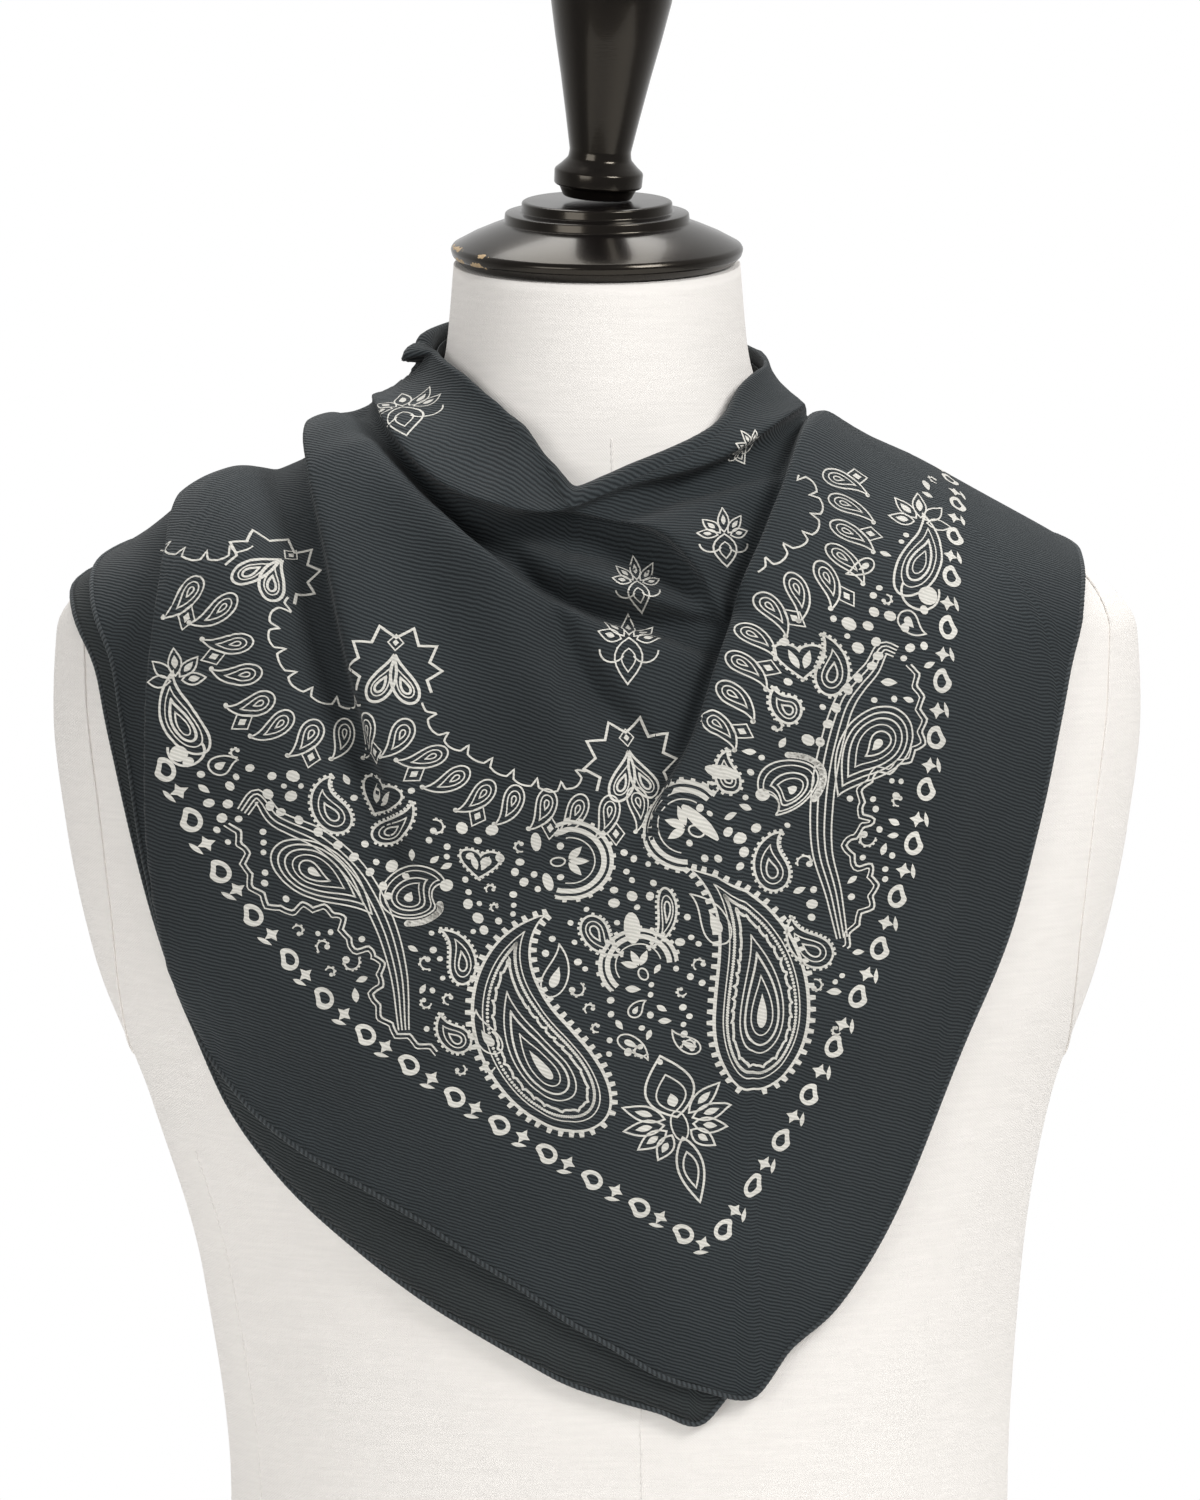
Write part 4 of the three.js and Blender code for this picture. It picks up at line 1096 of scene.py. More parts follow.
class Place:
    """Where a motif lies on the flat cloth: its start, the way it points and how far."""

    def __init__(self, ink, start, end, mirrored=False):
        self.ink, self.start = ink, np.asarray(start, float)
        way = np.asarray(end, float) - self.start
        self.length = max(float(np.hypot(*way)), 1e-6)
        self.up = way / self.length
        self.right = np.array([self.up[1], -self.up[0]]) * (-1 if mirrored else 1)

    def on_cloth(self, points):
        points = np.asarray(points, float)
        return self.start + points[:, :1] * self.right + points[:, 1:] * self.up

    def line(self, points, width=LINE):
        self.ink.stroke(self.on_cloth(points), width)

    def loop(self, points, width=LINE):
        self.ink.stroke(self.on_cloth(points), width, closed=True)

    def fill(self, points):
        self.ink.fill(self.on_cloth(points))

    def ring(self, outer, inner):
        self.ink.ring(self.on_cloth(outer), self.on_cloth(inner))

    def teeth(self, points, size, pitch, closed=True):
        self.ink.teeth(self.on_cloth(points), size, pitch, closed)


class Print:
    """Ink shapes, drawn on the flat cloth and carried onto its drape."""

    def __init__(self, layer):
        first = layer.first_row
        points, flat = layer.points[:, first:], layer.flat[:, first:]
        rows, columns = points.shape[:2]
        index = np.arange(rows * columns).reshape(rows, columns)
        a, b, c, d = index[:-1, :-1], index[:-1, 1:], index[1:, 1:], index[1:, :-1]
        self.corners = np.concatenate([np.stack([a, b, c], axis=-1).reshape(-1, 3),
                                       np.stack([a, c, d], axis=-1).reshape(-1, 3)]).tolist()
        self.places = [Vector(p) for p in points.reshape(-1, 3).tolist()]
        self.outs = [Vector(n) for n in layer.normals[:, first:].reshape(-1, 3).tolist()]
        self.flats = [Vector((u, v, 0)) for u, v in flat.reshape(-1, 2).tolist()]
        self.drape = BVHTree.FromPolygons(self.places, self.corners)
        self.cut = BVHTree.FromPolygons(self.flats, self.corners)
        self.vertices, self.uvs, self.faces = [], [], []

    def found(self, hit):
        place, _, index, _ = hit
        if place is None:
            raise ValueError("a motif's place misses the cloth")
        corners = self.corners[index]
        flat = barycentric_transform(place, *(self.places[k] for k in corners),
                                     *(self.flats[k] for k in corners))
        return np.array(flat[:2])

    def seen(self, across, down):
        """The flat place that the picture shows there."""
        middle = Vector(PICTURE_MIDDLE)
        back = Vector((0, -math.cos(CAMERA_UP), math.sin(CAMERA_UP)))
        above = Vector((0, math.sin(CAMERA_UP), math.cos(CAMERA_UP)))
        eye = middle + back * CAMERA_FAR
        target = (middle + Vector((1, 0, 0)) * (across - FRAME_MIDDLE[0]) * PIXEL
                  + above * (FRAME_MIDDLE[1] - down) * PIXEL)
        return self.found(self.drape.ray_cast(eye, (target - eye).normalized()))

    def path(self, places, step=1.0):
        return flat_spline([self.seen(*place) for place in places], step)

    def between(self, start, end, mirrored=False):
        return Place(self, self.seen(*start), self.seen(*end), mirrored)

    def carried(self, points):
        """Indices of new ink points over some flat places, or nothing if one is off the cloth."""
        made = []
        for u, v in points:
            place, _, index, _ = self.cut.ray_cast(Vector((u, v, 10)), Vector((0, 0, -1)))
            if place is None:
                return None
            corners = self.corners[index]
            flats = [self.flats[k] for k in corners]
            on = barycentric_transform(place, *flats, *(self.places[k] for k in corners))
            out = barycentric_transform(place, *flats, *(self.outs[k] for k in corners))
            made.append((on + out.normalized() * INK_LIFT, (u, v)))
        start = len(self.vertices)
        self.vertices.extend(on for on, _ in made)
        self.uvs.extend(uv for _, uv in made)
        return list(range(start, start + len(made)))

    def stroke(self, line, width=LINE, closed=False, taper=0.0):
        """A ribbon of ink along flat points."""
        line = even(line, INK_STEP, closed)
        if closed:
            before, after = np.roll(line, 1, axis=0), np.roll(line, -1, axis=0)
        else:
            before = np.concatenate([line[:1], line[:-1]])
            after = np.concatenate([line[1:], line[-1:]])
        into, onto = unit(line - before), unit(after - line)
        if not closed:
            into[0], onto[-1] = onto[0], into[-1]
        way = unit(into + onto)
        miter = 1 / np.clip((way * into).sum(axis=1), 0.62, 1)
        half = width / 2 * (1 - taper * np.linspace(0, 1, len(line)))
        side = rightward(way) * (half * miter)[:, None]
        count = len(line)
        made = self.carried(np.concatenate([line + side, line - side]))
        if made is None:
            return
        for k in range(count if closed else count - 1):
            n = (k + 1) % count
            self.faces.append((made[k], made[n], made[count + n], made[count + k]))

    def fill(self, outline):
        """A filled shape that can be seen whole from its middle."""
        outline = even(outline, INK_STEP, closed=True)
        middle = outline.mean(axis=0)
        inner = middle + (outline - middle) * 0.5
        count = len(outline)
        made = self.carried(np.concatenate([outline, inner, middle[None]]))
        if made is None:
            return
        for k in range(count):
            n = (k + 1) % count
            self.faces.append((made[k], made[n], made[count + n], made[count + k]))
            self.faces.append((made[count + k], made[count + n], made[2 * count]))

    def ring(self, outer, inner):
        """The ink between two outlines of as many points."""
        count = len(outer)
        made = self.carried(np.concatenate([outer, inner]))
        if made is None:
            return
        for k in range(count):
            n = (k + 1) % count
            self.faces.append((made[k], made[n], made[count + n], made[count + k]))

    def teeth(self, outline, size, pitch, closed=True):
        """Small teeth that stand out from an outline."""
        line = even(outline, 0.5, closed)
        area = 0.5 * np.sum(line[:, 0] * np.roll(line[:, 1], -1)
                            - line[:, 1] * np.roll(line[:, 0], -1))
        sign = 1 if area > 0 else -1
        spacing = max(int(round(pitch / 0.5)), 2)
        for k in range(spacing, len(line) - 1, spacing):
            way = line[(k + 1) % len(line)] - line[k - 1]
            way = way / max(np.hypot(*way), 1e-6)
            out = rightward(way) * sign
            wide, narrow = way * min(pitch * 0.24, 1.05), way * min(pitch * 0.17, 0.8)
            made = self.carried([line[k] - wide, line[k] + wide,
                                 line[k] + narrow + out * size, line[k] - narrow + out * size])
            if made:
                self.faces.append(tuple(made))

    def piece(self, name):
        mesh = bpy.data.meshes.new(name)
        mesh.from_pydata([v * MM for v in self.vertices], [], self.faces)
        layer = mesh.uv_layers.new(name="flat")
        for loop, corner in zip(mesh.loops, layer.data):
            u, v = self.uvs[loop.vertex_index]
            corner.uv = (u * MM, v * MM)
        obj = bpy.data.objects.new(name, mesh)
        bpy.context.collection.objects.link(obj)
        return obj


def print_row_drop(place, size):
    shape = Drop(size, size * 0.42, 1.0)
    place.loop(shape.outline())
    place.loop(shape.outline(0.58), FINE_LINE)
    place.loop(shape.outline(0.22), FINE_LINE)
    place.fill(ellipse((0, size * 0.98), 0.95, 0.85))


def print_diamond(place, at, size):
    place.loop(diamond(at, size * 0.72, size), FINE_LINE)
    place.fill(diamond(at, size * 0.3, size * 0.42))


def print_petal(place, base, tip, width, line, core):
    """An outlined petal, filled in its core where it has one."""
    lens = petal(base, tip, width)
    place.loop(lens, line)
    if core:
        place.fill(nested(lens, core))


def print_big_paisley(place, width, curl):
    """A large toothed paisley: a dotted band and a cusped line round a nest of tears."""
    shape = Drop(place.length, width, curl, 90)
    place.ring(shape.outline(), shape.outline(0.93, 0.97))
    place.teeth(shape.outline(), 2.1, 5.2)
    place.loop(shape.outline(0.78, 0.84), FINE_LINE)
    for dot in even(shape.outline(0.7, 0.76), 8.5, closed=True):
        place.fill(ellipse(dot, 0.62, 0.62, count=8))
    line = even(shape.outline(0.58, 0.66), 0.9, closed=True)
    share = (np.arange(len(line)) * 9 / len(line) * round(len(line) / 75)) % 1
    out = unit(line - line.mean(axis=0))
    cusps = 1.5 * (1 - 2 * np.abs(share - 0.5)) ** 3 - 0.4 * np.sin(math.pi * share)
    place.loop(line + out * cusps[:, None], 0.95)
    for share, line in ((0.44, 0.55), (0.34, 0.8), (0.22, 0.5)):
        place.loop(shape.outline(share, share * 1.1), line)
    place.fill(shape.outline(0.1, 0.14))


def print_paisley(place, width, curl):
    shape = Drop(place.length, width, curl)
    place.loop(shape.outline(), 0.85)
    place.teeth(shape.outline(), 1.2, 2.9)
    place.loop(shape.outline(0.62), FINE_LINE)
    place.loop(shape.outline(0.32))


def print_tear(place, width, curl):
    shape = Drop(place.length, width, curl)
    place.loop(shape.outline())
    place.fill(shape.outline(0.4))


def print_hooked(place, width, curl):
    """A paisley of plain nested lines, whose tip curls round a solid ball."""
    shape = Drop(place.length, width, curl, 70)
    for share, line in ((1, LINE), (0.84, FINE_LINE), (0.6, LINE), (0.42, FINE_LINE)):
        place.loop(shape.outline(share), line)
    place.fill(shape.outline(0.16))
    place.fill(ellipse((0.5, place.length * 0.99), 2.3, 2.5))
    for dot in even(shape.outline()[:35], 3.9)[2:]:
        place.fill(ellipse(dot + unit(dot - shape.middle) * 2, 1.15, 1.3))


def print_heart(place):
    size = place.length
    at = np.linspace(0, 2 * math.pi, 44, endpoint=False)
    outline = np.stack([size * 0.46 * np.sin(at) ** 3, size * 0.5 + size * 0.42 * (
        0.8 * np.cos(at) - 0.32 * np.cos(2 * at) - 0.12 * np.cos(3 * at))], axis=1)
    place.loop(outline, 0.8)
    place.teeth(outline, 1.0, 2.6)
    for side in (-1, 1):
        place.fill(petal((side * size * 0.05, size * 0.3), (side * size * 0.2, size * 0.68),
                         size * 0.15))


def print_scallop(place, size):
    """A half round with a toothed rim, open at its foot, with petals inside."""
    middle = (0, size * 0.1)
    rim = arc(middle, size, -112, 112)
    place.line(rim)
    place.teeth(rim, 2.1, 4.3, closed=False)
    for share, end, line in ((1.045, 110, 1.1), (0.84, 112, 1.9), (0.62, 100, FINE_LINE)):
        place.line(arc(middle, size * share, -end, end), line)
    for turn in (-52, 0, 52):
        place.fill(petal(on_ray(turn, size * 0.05, size * 0.05, size * 0.02),
                         on_ray(turn, size * 0.08, size * 0.5), size * 0.2))
    place.loop(ellipse((0, -size * 0.2), size * 0.12, size * 0.18))


def print_crown(place):
    """Two leaning tears and a diamond under a spiked leaf that joins the zigzag line."""
    size = place.length
    spikes = []
    for k, turn in enumerate(np.linspace(-118, 118, 15)):
        far = size * (0.53 if k % 2 == 0 else 0.39) * (1 + 0.2 * math.cos(math.radians(turn)))
        spikes.append(on_ray(turn, size * 0.4, far * 0.96, far))
    place.line(spikes, 0.95)
    for side in (-1, 1):
        shape = Drop(size * 0.62, size * 0.25, 0.5 * side)
        c, s = math.cos(CROWN_LEAN * side), math.sin(CROWN_LEAN * side)
        spin = np.array([[c, -s], [s, c]])
        shift = np.array([side * size * 0.23, size * 0.04])
        for share, line in ((1, 0.95), (0.6, FINE_LINE), (0.34, 0.8)):
            place.loop(shape.outline(share) @ spin + shift, line)
    print_diamond(place, (0, size * 0.8), size * 0.11)


def print_sprig(place):
    """A small spray: five petals over a pointed leaf."""
    size = place.length
    for turn, reach in ((-74, 0.4), (-38, 0.5), (0, 0.58), (38, 0.5), (74, 0.4)):
        print_petal(place, on_ray(turn, size * 0.42, size * 0.1, size * 0.08),
                    on_ray(turn, size * 0.42, size * reach), size * 0.17, 0.55, 0.42)
    leaf = petal((0, size * 0.46), (0, -size * 0.12), size * 0.34)
    place.loop(leaf, 0.6)
    place.loop(nested(leaf, 0.5), FINE_LINE)
    for side in (-1, 1):
        middle = (side * size * 0.2, size * 0.3)
        place.line(arc(middle, size * 0.16, 90 * side, 240 * side, 10), 0.6)


def print_palmette(place):
    """The corner's spray: a tall spear, leaves to both sides and a hanging petal."""
    size = place.length
    spear = petal((0, size * 0.42), (0, 0), size * 0.3, 15)
    place.loop(spear, 0.85)
    place.loop(nested(spear, 0.6, (0, size * 0.32)))
    place.fill(nested(spear, 0.22, (0, size * 0.33)))
    middle = size * 0.46
    place.loop(ellipse((0, middle + size * 0.02), size * 0.05, size * 0.1))
    for side in (-1, 1):
        for turn, reach in ((58, 0.36), (84, 0.34), (110, 0.3), (138, 0.27)):
            print_petal(place, on_ray(turn, middle, side * size * 0.09, -size * 0.09),
                        on_ray(turn, middle, side * size * reach, -size * reach), size * 0.1,
                        0.75, 0.42)
    fall = petal((0, middle + size * 0.1), (0, size), size * 0.16, 13)
    place.loop(fall, 0.85)
    place.loop(nested(fall, 0.55), 0.7)


def print_plume(place):
    """A long tear that curls round a ball, under a flower of pointed petals."""
    size = place.length
    shape = Drop(size * 0.78, size * 0.3, 0.9, 60, 0.36)
    for share, line in ((1, 0.85), (0.72, FINE_LINE), (0.5, 0.9), (0.28, FINE_LINE)):
        place.loop(shape.outline(share), line)
    place.fill(ellipse((-size * 0.2, size * 0.06), size * 0.075, size * 0.075))
    place.line(arc((-size * 0.14, size * 0.07), size * 0.145, 80, 300, 20), 0.85)
    for turn, reach in ((-70, 0.26), (-30, 0.3), (12, 0.32), (55, 0.28), (100, 0.24)):
        print_petal(place, on_ray(turn, size * 0.68, size * 0.05),
                    on_ray(turn, size * 0.68, size * reach), size * 0.11, LINE,
                    0.5 if turn > 0 else None)


def print_curl(ink, middle, size, turn):
    """A small hook with a ball at its start and little thorns outside."""
    at = np.radians(turn) + np.linspace(0.4, 4.6, 26)
    grow = np.linspace(0.45, 1.05, 26)[:, None]
    line = np.asarray(middle) + size * 0.62 * grow * np.stack([np.cos(at), np.sin(at)], axis=1)
    ink.stroke(line, 0.85, taper=0.35)
    ink.fill(ellipse(line[0], size * 0.24, size * 0.24, count=10))
    ink.teeth(line, 0.8, 2.3, closed=False)


def print_arabesque(ink, band, leaf, wide, curl, edge):
    """A scrolling stem of four lines with a nested leaf on it and a frilled outer edge."""
    stem = ink.path(band)
    across = rightward(headings(stem))
    swell = np.sin(np.linspace(0.25, math.pi - 0.2, len(stem)))[:, None]
    for offset in (-3.3, -1.1, 1.1, 3.3):
        ink.stroke(stem + across * offset * (0.45 + 0.75 * swell), 0.58)
    place = ink.between(*leaf)
    shape = Drop(place.length, wide, curl, 60, 0.36)
    for share, line in ((1.0, LINE), (0.84, LINE), (0.68, LINE), (0.5, FINE_LINE)):
        place.loop(shape.outline(share), line)
    tuft = Drop(place.length * 0.3, wide * 0.3, -curl).outline()
    tuft = tuft + shape.middle - (0, place.length * 0.12)
    place.loop(tuft)
    place.fill(nested(tuft, 0.45))
    frill = ink.path(edge)
    out = rightward(headings(frill))
    wave = 2.4 * (2 * np.abs((np.arange(len(frill)) / FRILL_PITCH) % 1 - 0.5) - 0.5)
    for shift, line in ((0.0, 0.75), (1.9, 0.5)):
        ink.stroke(frill + out * (wave + shift)[:, None], line)


def print_chain(ink, line, mirrored=False):
    """A border of hollow beans with a small star and leaf between each two."""
    way = headings(line)
    count = int(len(line) / CHAIN_PITCH)
    spacing = len(line) / count
    turns = np.arange(8) * math.pi / 4
    reach = np.where(np.arange(8) % 2 == 0, 3.1, 1.5)
    star = np.stack([reach * np.sin(turns), reach * np.cos(turns)], axis=1)
    at = np.linspace(0, 2 * math.pi, 30, endpoint=False)
    dent = 1 - 0.34 * np.exp(-((np.cos(at + 0.7) - 1) / 0.2) ** 2)
    bean = np.stack([3.9 * np.cos(at) * dent, 4.6 * np.sin(at) * dent], axis=1)
    for k in range(count):
        i = min(int((k + 0.5) * spacing), len(line) - 1)
        j = min(int((k + 1) * spacing), len(line) - 1)
        along = -way[i] if mirrored else way[i]
        place = Place(ink, line[i] - along, line[i] + along, mirrored)
        place.ring(bean + (0, 1.0), bean * (0.5, 0.56) + (-0.4, 1.2))
        knot = Place(ink, line[j] - way[j], line[j] + way[j])
        knot.fill(star - (1.2, 0))
        knot.fill(petal((3.6, -2.2), (1.4, 3.4), 1.7))


def print_zigzag(ink, line):
    """A hanging scalloped line whose sharp points turn towards the plain middle of the cloth."""
    out = -rightward(headings(line))
    away = np.abs((np.arange(len(line)) * ZIGZAG_STEP / ZIGZAG_PITCH) % 1 - 0.5) * 2
    wave = 3.0 * np.clip(1 - away / 0.28, 0, 1) - 1.3 * np.sin(math.pi / 2 * away)
    ink.stroke(line + out * wave[:, None], 0.7)


def inside(point, outline):
    """Whether a flat point is inside an outline."""
    x, y = outline[:, 0] - point[0], outline[:, 1] - point[1]
    onward_x, onward_y = np.roll(x, -1), np.roll(y, -1)
    split = (y > 0) != (onward_y > 0)
    rise = np.where(split, onward_y - y, 1)
    return np.count_nonzero(split & (x - y * (onward_x - x) / rise > 0)) % 2 == 1


def print_fillers(ink, outline):
    """Seeds, leaves and small tears in the ground that the larger motifs leave free."""
    low, high = outline.min(axis=0), outline.max(axis=0)
    spots = [(x, y) for y in np.arange(low[1], high[1], FILLER_PITCH)
             for x in np.arange(low[0], high[0], FILLER_PITCH)]
    taken = np.empty((0, 2))
    for k, spot in enumerate(spots):
        if len(ink.uvs) > len(taken):
            taken = np.concatenate([taken, np.array(ink.uvs[len(taken):])])
        sway = np.array([math.sin(k * 2.4), math.cos(k * 3.7)]) * FILLER_PITCH * 0.3
        point = np.array(spot) + sway
        if not inside(point, outline):
            continue
        free = np.min(np.hypot(*(taken - point).T))
        turn = k * GOLDEN_TURN
        way = np.array([math.cos(turn), math.sin(turn)])
        if free > 6.5:
            reach = way * free * 0.6
            print_tear(Place(ink, point - reach, point + reach), free * 0.75, 0.9)
        elif free > 4.2 and k % 2:
            print_curl(ink, point, free * 0.62, math.degrees(turn))
        elif free > 3.4:
            ink.fill(petal(point - way * free * 0.62, point + way * free * 0.62, free * 0.6))
        elif free > 2.3:
            ink.fill(ellipse(point, free * 0.42, free * 0.46, turn, 10))


def hem_offset(layer, rails, inset):
    """Flat places at one distance inside the hem, at some of the rails."""
    step = LAYER_STEPS[0] // (len(RAILS) - 1)
    places = []
    for rail in rails:
        neck, hem = layer.flat[rail * step, layer.first_row], layer.flat[rail * step, -1]
        reach = np.hypot(*(neck - hem))
        places.append(hem + (neck - hem) * min(inset / reach, 0.8))
    return places


class BandanaSizes(bpy.types.PropertyGroup):
    """The sizes of the bandana that a user would change."""

    square: FloatProperty(name="Square", description="Side of the square that is folded",
                          default=0.70, unit="LENGTH")
    wall: FloatProperty(name="Cloth", description="Thickness of the cotton",
                        default=0.0005, unit="LENGTH", precision=4)
    hem: FloatProperty(name="Hem", description="Radius of the rolled hem",
                       default=0.00105, unit="LENGTH", precision=5)
    key_power: FloatProperty(name="Key Light", description="Power of the soft key light",
                             default=67.0, unit="POWER")


class BandanaColours(bpy.types.PropertyGroup):
    """The colours of the bandana and of the form."""

    # The dark tones are painted shade between the twill's ribs, the light ones a painted lighter
    # tone on the ribs' tops
    cloth_shaded_groove: FloatVectorProperty(name="Cloth, Dark", description="Between the twill's ribs",
                                    default=(0.0095, 0.0122, 0.0138), subtype="COLOR")
    cloth_lit_rib: FloatVectorProperty(name="Cloth, Light", description="On the twill's ribs",
                                     default=(0.043, 0.0515, 0.0555), subtype="COLOR")
    back_shaded_groove: FloatVectorProperty(name="Back, Dark", description="Wrong side, between ribs",
                                   default=(0.011, 0.0135, 0.014), subtype="COLOR")
    back_lit_rib: FloatVectorProperty(name="Back, Light", description="Wrong side, on the ribs",
                                    default=(0.043, 0.0505, 0.052), subtype="COLOR")
    ink: FloatVectorProperty(name="Print", description="The off-white of the print",
                             default=(0.72, 0.7, 0.64), subtype="COLOR")
    linen: FloatVectorProperty(name="Linen", description="The form's cover",
                               default=(0.86, 0.825, 0.785), subtype="COLOR")


class BANDANA_OT_printed_cloth(bpy.types.Operator):
    """Drape the outer half of the square over the form"""

    bl_idname = "bandana.printed_cloth"
    bl_label = "Printed Cloth"

    def execute(self, context):
        layer = printed_layer()
        cloth = grid_piece("printed_cloth", layer.points, layer.flat)
        add_modifier(cloth, "SOLIDIFY", thickness=context.scene.bandana_sizes.wall, offset=-1)
        give(cloth, finish_named("printed"),
             ("front_layer", "left_end", "right_end"))
        return {"FINISHED"}


class BANDANA_OT_plain_cloth(bpy.types.Operator):
    """Lay the inner half of the square on the form, under the printed one"""

    bl_idname = "bandana.plain_cloth"
    bl_label = "Under Layer"

    def execute(self, context):
        layer = plain_layer()
        cloth = grid_piece("plain_cloth", layer.points, layer.flat)
        add_modifier(cloth, "SOLIDIFY", thickness=context.scene.bandana_sizes.wall, offset=-1)
        give(cloth, finish_named("plain"), ("under_layer",))
        return {"FINISHED"}


class BANDANA_OT_hems(bpy.types.Operator):
    """Roll and overcast the hems of both layers"""

    bl_idname = "bandana.hems"
    bl_label = "Rolled Hems"

    def execute(self, context):
        sizes = context.scene.bandana_sizes
        radius, wall = sizes.hem / MM, sizes.wall / MM
        for name, layer, slot in (("printed_hem", printed_layer(), "printed_cotton"),
                                  ("plain_hem", plain_layer(), "plain_cotton")):
            line, out = layer.hem()
            line, out = resampled(line - out * wall / 2, 0.75, out)
            tube = tube_along(name, line, unit(out), radius, 10, 0.07)
            give(tube, finish_named("hem"))
        return {"FINISHED"}


class BANDANA_OT_print(bpy.types.Operator):
    """Print the paisley border, its motifs and the sprigs on the cloth"""

    bl_idname = "bandana.print"
    bl_label = "Print"

    def shown(self, ink):
        """What the picture shows."""
        for places in DROP_ROWS:
            line = ink.path(places)
            way = headings(line)
            out = rightward(way)
            for k in range(int(len(line) / DROP_PITCH)):
                i = int((k + 0.5) * DROP_PITCH)
                lean = out[i] * 8.6 - way[i] * 3.2
                print_row_drop(Place(ink, line[i] - lean, line[i] + lean), DROP_SIZE)
                aside = line[i] + way[i] * DROP_PITCH * 0.42 + out[i] * 6.0
                if k % 2 == 0:
                    print_diamond(Place(ink, aside - out[i], aside + out[i]), (0, 1), 4.3)
        for places in ZIGZAGS:
            print_zigzag(ink, ink.path(places, ZIGZAG_STEP))
        for draw, rows in ((print_crown, CROWNS), (print_sprig, SPRIGS),
                           (print_big_paisley, BIG_PAISLEYS), (print_paisley, PAISLEYS),
                           (print_hooked, HOOKED), (print_tear, TEARS), (print_heart, HEARTS)):
            for start, end, *shape in rows:
                draw(ink.between(start, end), *shape)
        for (across, down), size, turn in SCALLOPS:
            way = math.radians(turn)
            further = (across - 20 * math.cos(way), down - 20 * math.sin(way))
            print_scallop(ink.between((across, down), further), size)
        for row in ARABESQUES:
            print_arabesque(ink, **row)
        for k, ends in enumerate(PLUMES):
            print_plume(ink.between(*ends, mirrored=k == 1))
        print_palmette(ink.between(*PALMETTE))
        for middle, size, turn in CURLS:
            print_curl(ink, ink.seen(*middle), size, turn)
        for middle, radius in DOTS:
            ink.fill(ellipse(ink.seen(*middle), radius * 0.86, radius, middle[0], 10))
        for across, down, wide, high, turn in SHARDS:
            ink.fill(ellipse(ink.seen(across, down), wide, high, math.radians(turn), 14))
        print_fillers(ink, np.array([ink.seen(*place) for place in GROUND]))

    def hidden(self, ink, layer):
        """The same border and rows, carried on over both shoulders to the nape."""
        for rails, side, inset in ((range(1, 6), -1, HIDDEN_CHAIN[0]),
                                   (range(39, 35, -1), 1, HIDDEN_CHAIN[1])):
            places = hem_offset(layer, rails, inset)
            if side > 0:
                places.append(ink.seen(*CHAIN[-1]))
            line = flat_spline(places, 1.0)
            print_chain(ink, line[::-side], side > 0)
            inner = flat_spline(hem_offset(layer, rails, HIDDEN_ROW), 1.0)
            way = headings(inner)
            out = rightward(way) * side
            for k in range(int(len(inner) / HIDDEN_PITCH)):
                i = int((k + 0.5) * HIDDEN_PITCH)
                start, end = inner[i] - out[i] * 8, inner[i] + out[i] * 8 + way[i] * 5
                print_paisley(Place(ink, start, end, side > 0), 9, 1.2)
                ink.fill(ellipse(inner[i] + way[i] * 11, 1.8, 2.2, count=10))
                print_curl(ink, inner[i] + way[i] * 12 + out[i] * 8, 4, 60 * k)

    def execute(self, context):
        layer = printed_layer()
        ink = Print(layer)
        chain = ink.path(CHAIN)
        from_corner = np.hypot(*(chain - ink.seen(*CHAIN[CHAIN_CORNER])).T)
        corner = int(np.argmin(from_corner))
        print_chain(ink, chain[:corner])
        print_chain(ink, chain[corner:], mirrored=True)
        self.shown(ink)
        self.hidden(ink, layer)
        give(ink.piece("print"), finish_named("ink"))
        return {"FINISHED"}


class BANDANA_OT_knot(bpy.types.Operator):
    """Tie the ends in a plain knot at the nape"""

    bl_idname = "bandana.knot"
    bl_label = "Knot"

    RUN = 53
    STAND = 12.5
    SIZE = (16.6, 15.8, 9.3)
    WRAP = (0.86, 0.5, 0.44)  # the way across the outer wrap and half its width
    WRAP_RISE = 0.1
    GROOVE = (0.17, 0.075)  # depth and width of the crease on both sides of the wrap
    HOLLOW = (0.16, 0.2)  # where the tails come out below

    def wrapped(self, places):
        """How far each place of a ball stands out where the cloth is wrapped round the knot."""
        across = places[:, 0] * self.WRAP[0] + places[:, 1] * self.WRAP[1]
        along = places[:, 1] * self.WRAP[0] - places[:, 0] * self.WRAP[1]
        edge = np.abs(across + 0.09 * np.sin(along * 2.6 + 0.5)) - self.WRAP[2]
        on_wrap = 1 / (1 + np.exp(edge / 0.035))
        size = 1 + self.WRAP_RISE * on_wrap - self.GROOVE[0] * np.exp(-(edge / self.GROOVE[1]) ** 2)
        pleats = 0.022 * np.cos(across * 24 + 3 * np.sin(along * 2)) * on_wrap
        gathers = 0.035 * np.cos(along * 15 + across * 5) * (1 - on_wrap)
        below = np.exp(-(places[:, 0] / self.HOLLOW[1]) ** 2) * np.clip(-places[:, 1], 0, 1) ** 3
        return size + pleats + gathers - self.HOLLOW[0] * below

    def execute(self, context):
        deselect()
        bpy.ops.mesh.primitive_uv_sphere_add(segments=160, ring_count=110, radius=1)
        knot = context.object
        knot.name = knot.data.name = "knot"
        places = np.array([vertex.co for vertex in knot.data.vertices])
        places *= self.wrapped(places)[:, None] * np.array(self.SIZE)
        middle, out = FORM.at(180.0, float(self.RUN))
        up = np.array([0, -out[2], out[1]])
        turned = places @ np.stack([np.cross(up, out), up, out])
        turned += middle + out * self.STAND
        for vertex, place in zip(knot.data.vertices, turned * MM):
            vertex.co = place
        layer = knot.data.uv_layers.active
        layer.name = "flat"
        for loop, corner in zip(knot.data.loops, layer.data):
            place = places[loop.vertex_index]
            corner.uv = (place[0] * 0.6 - place[1] * 0.8) * MM, (place[0] + place[1]) * MM
        only(knot)
        bpy.ops.object.shade_smooth()
        give(knot, finish_named("printed"), ("knot",))
        return {"FINISHED"}


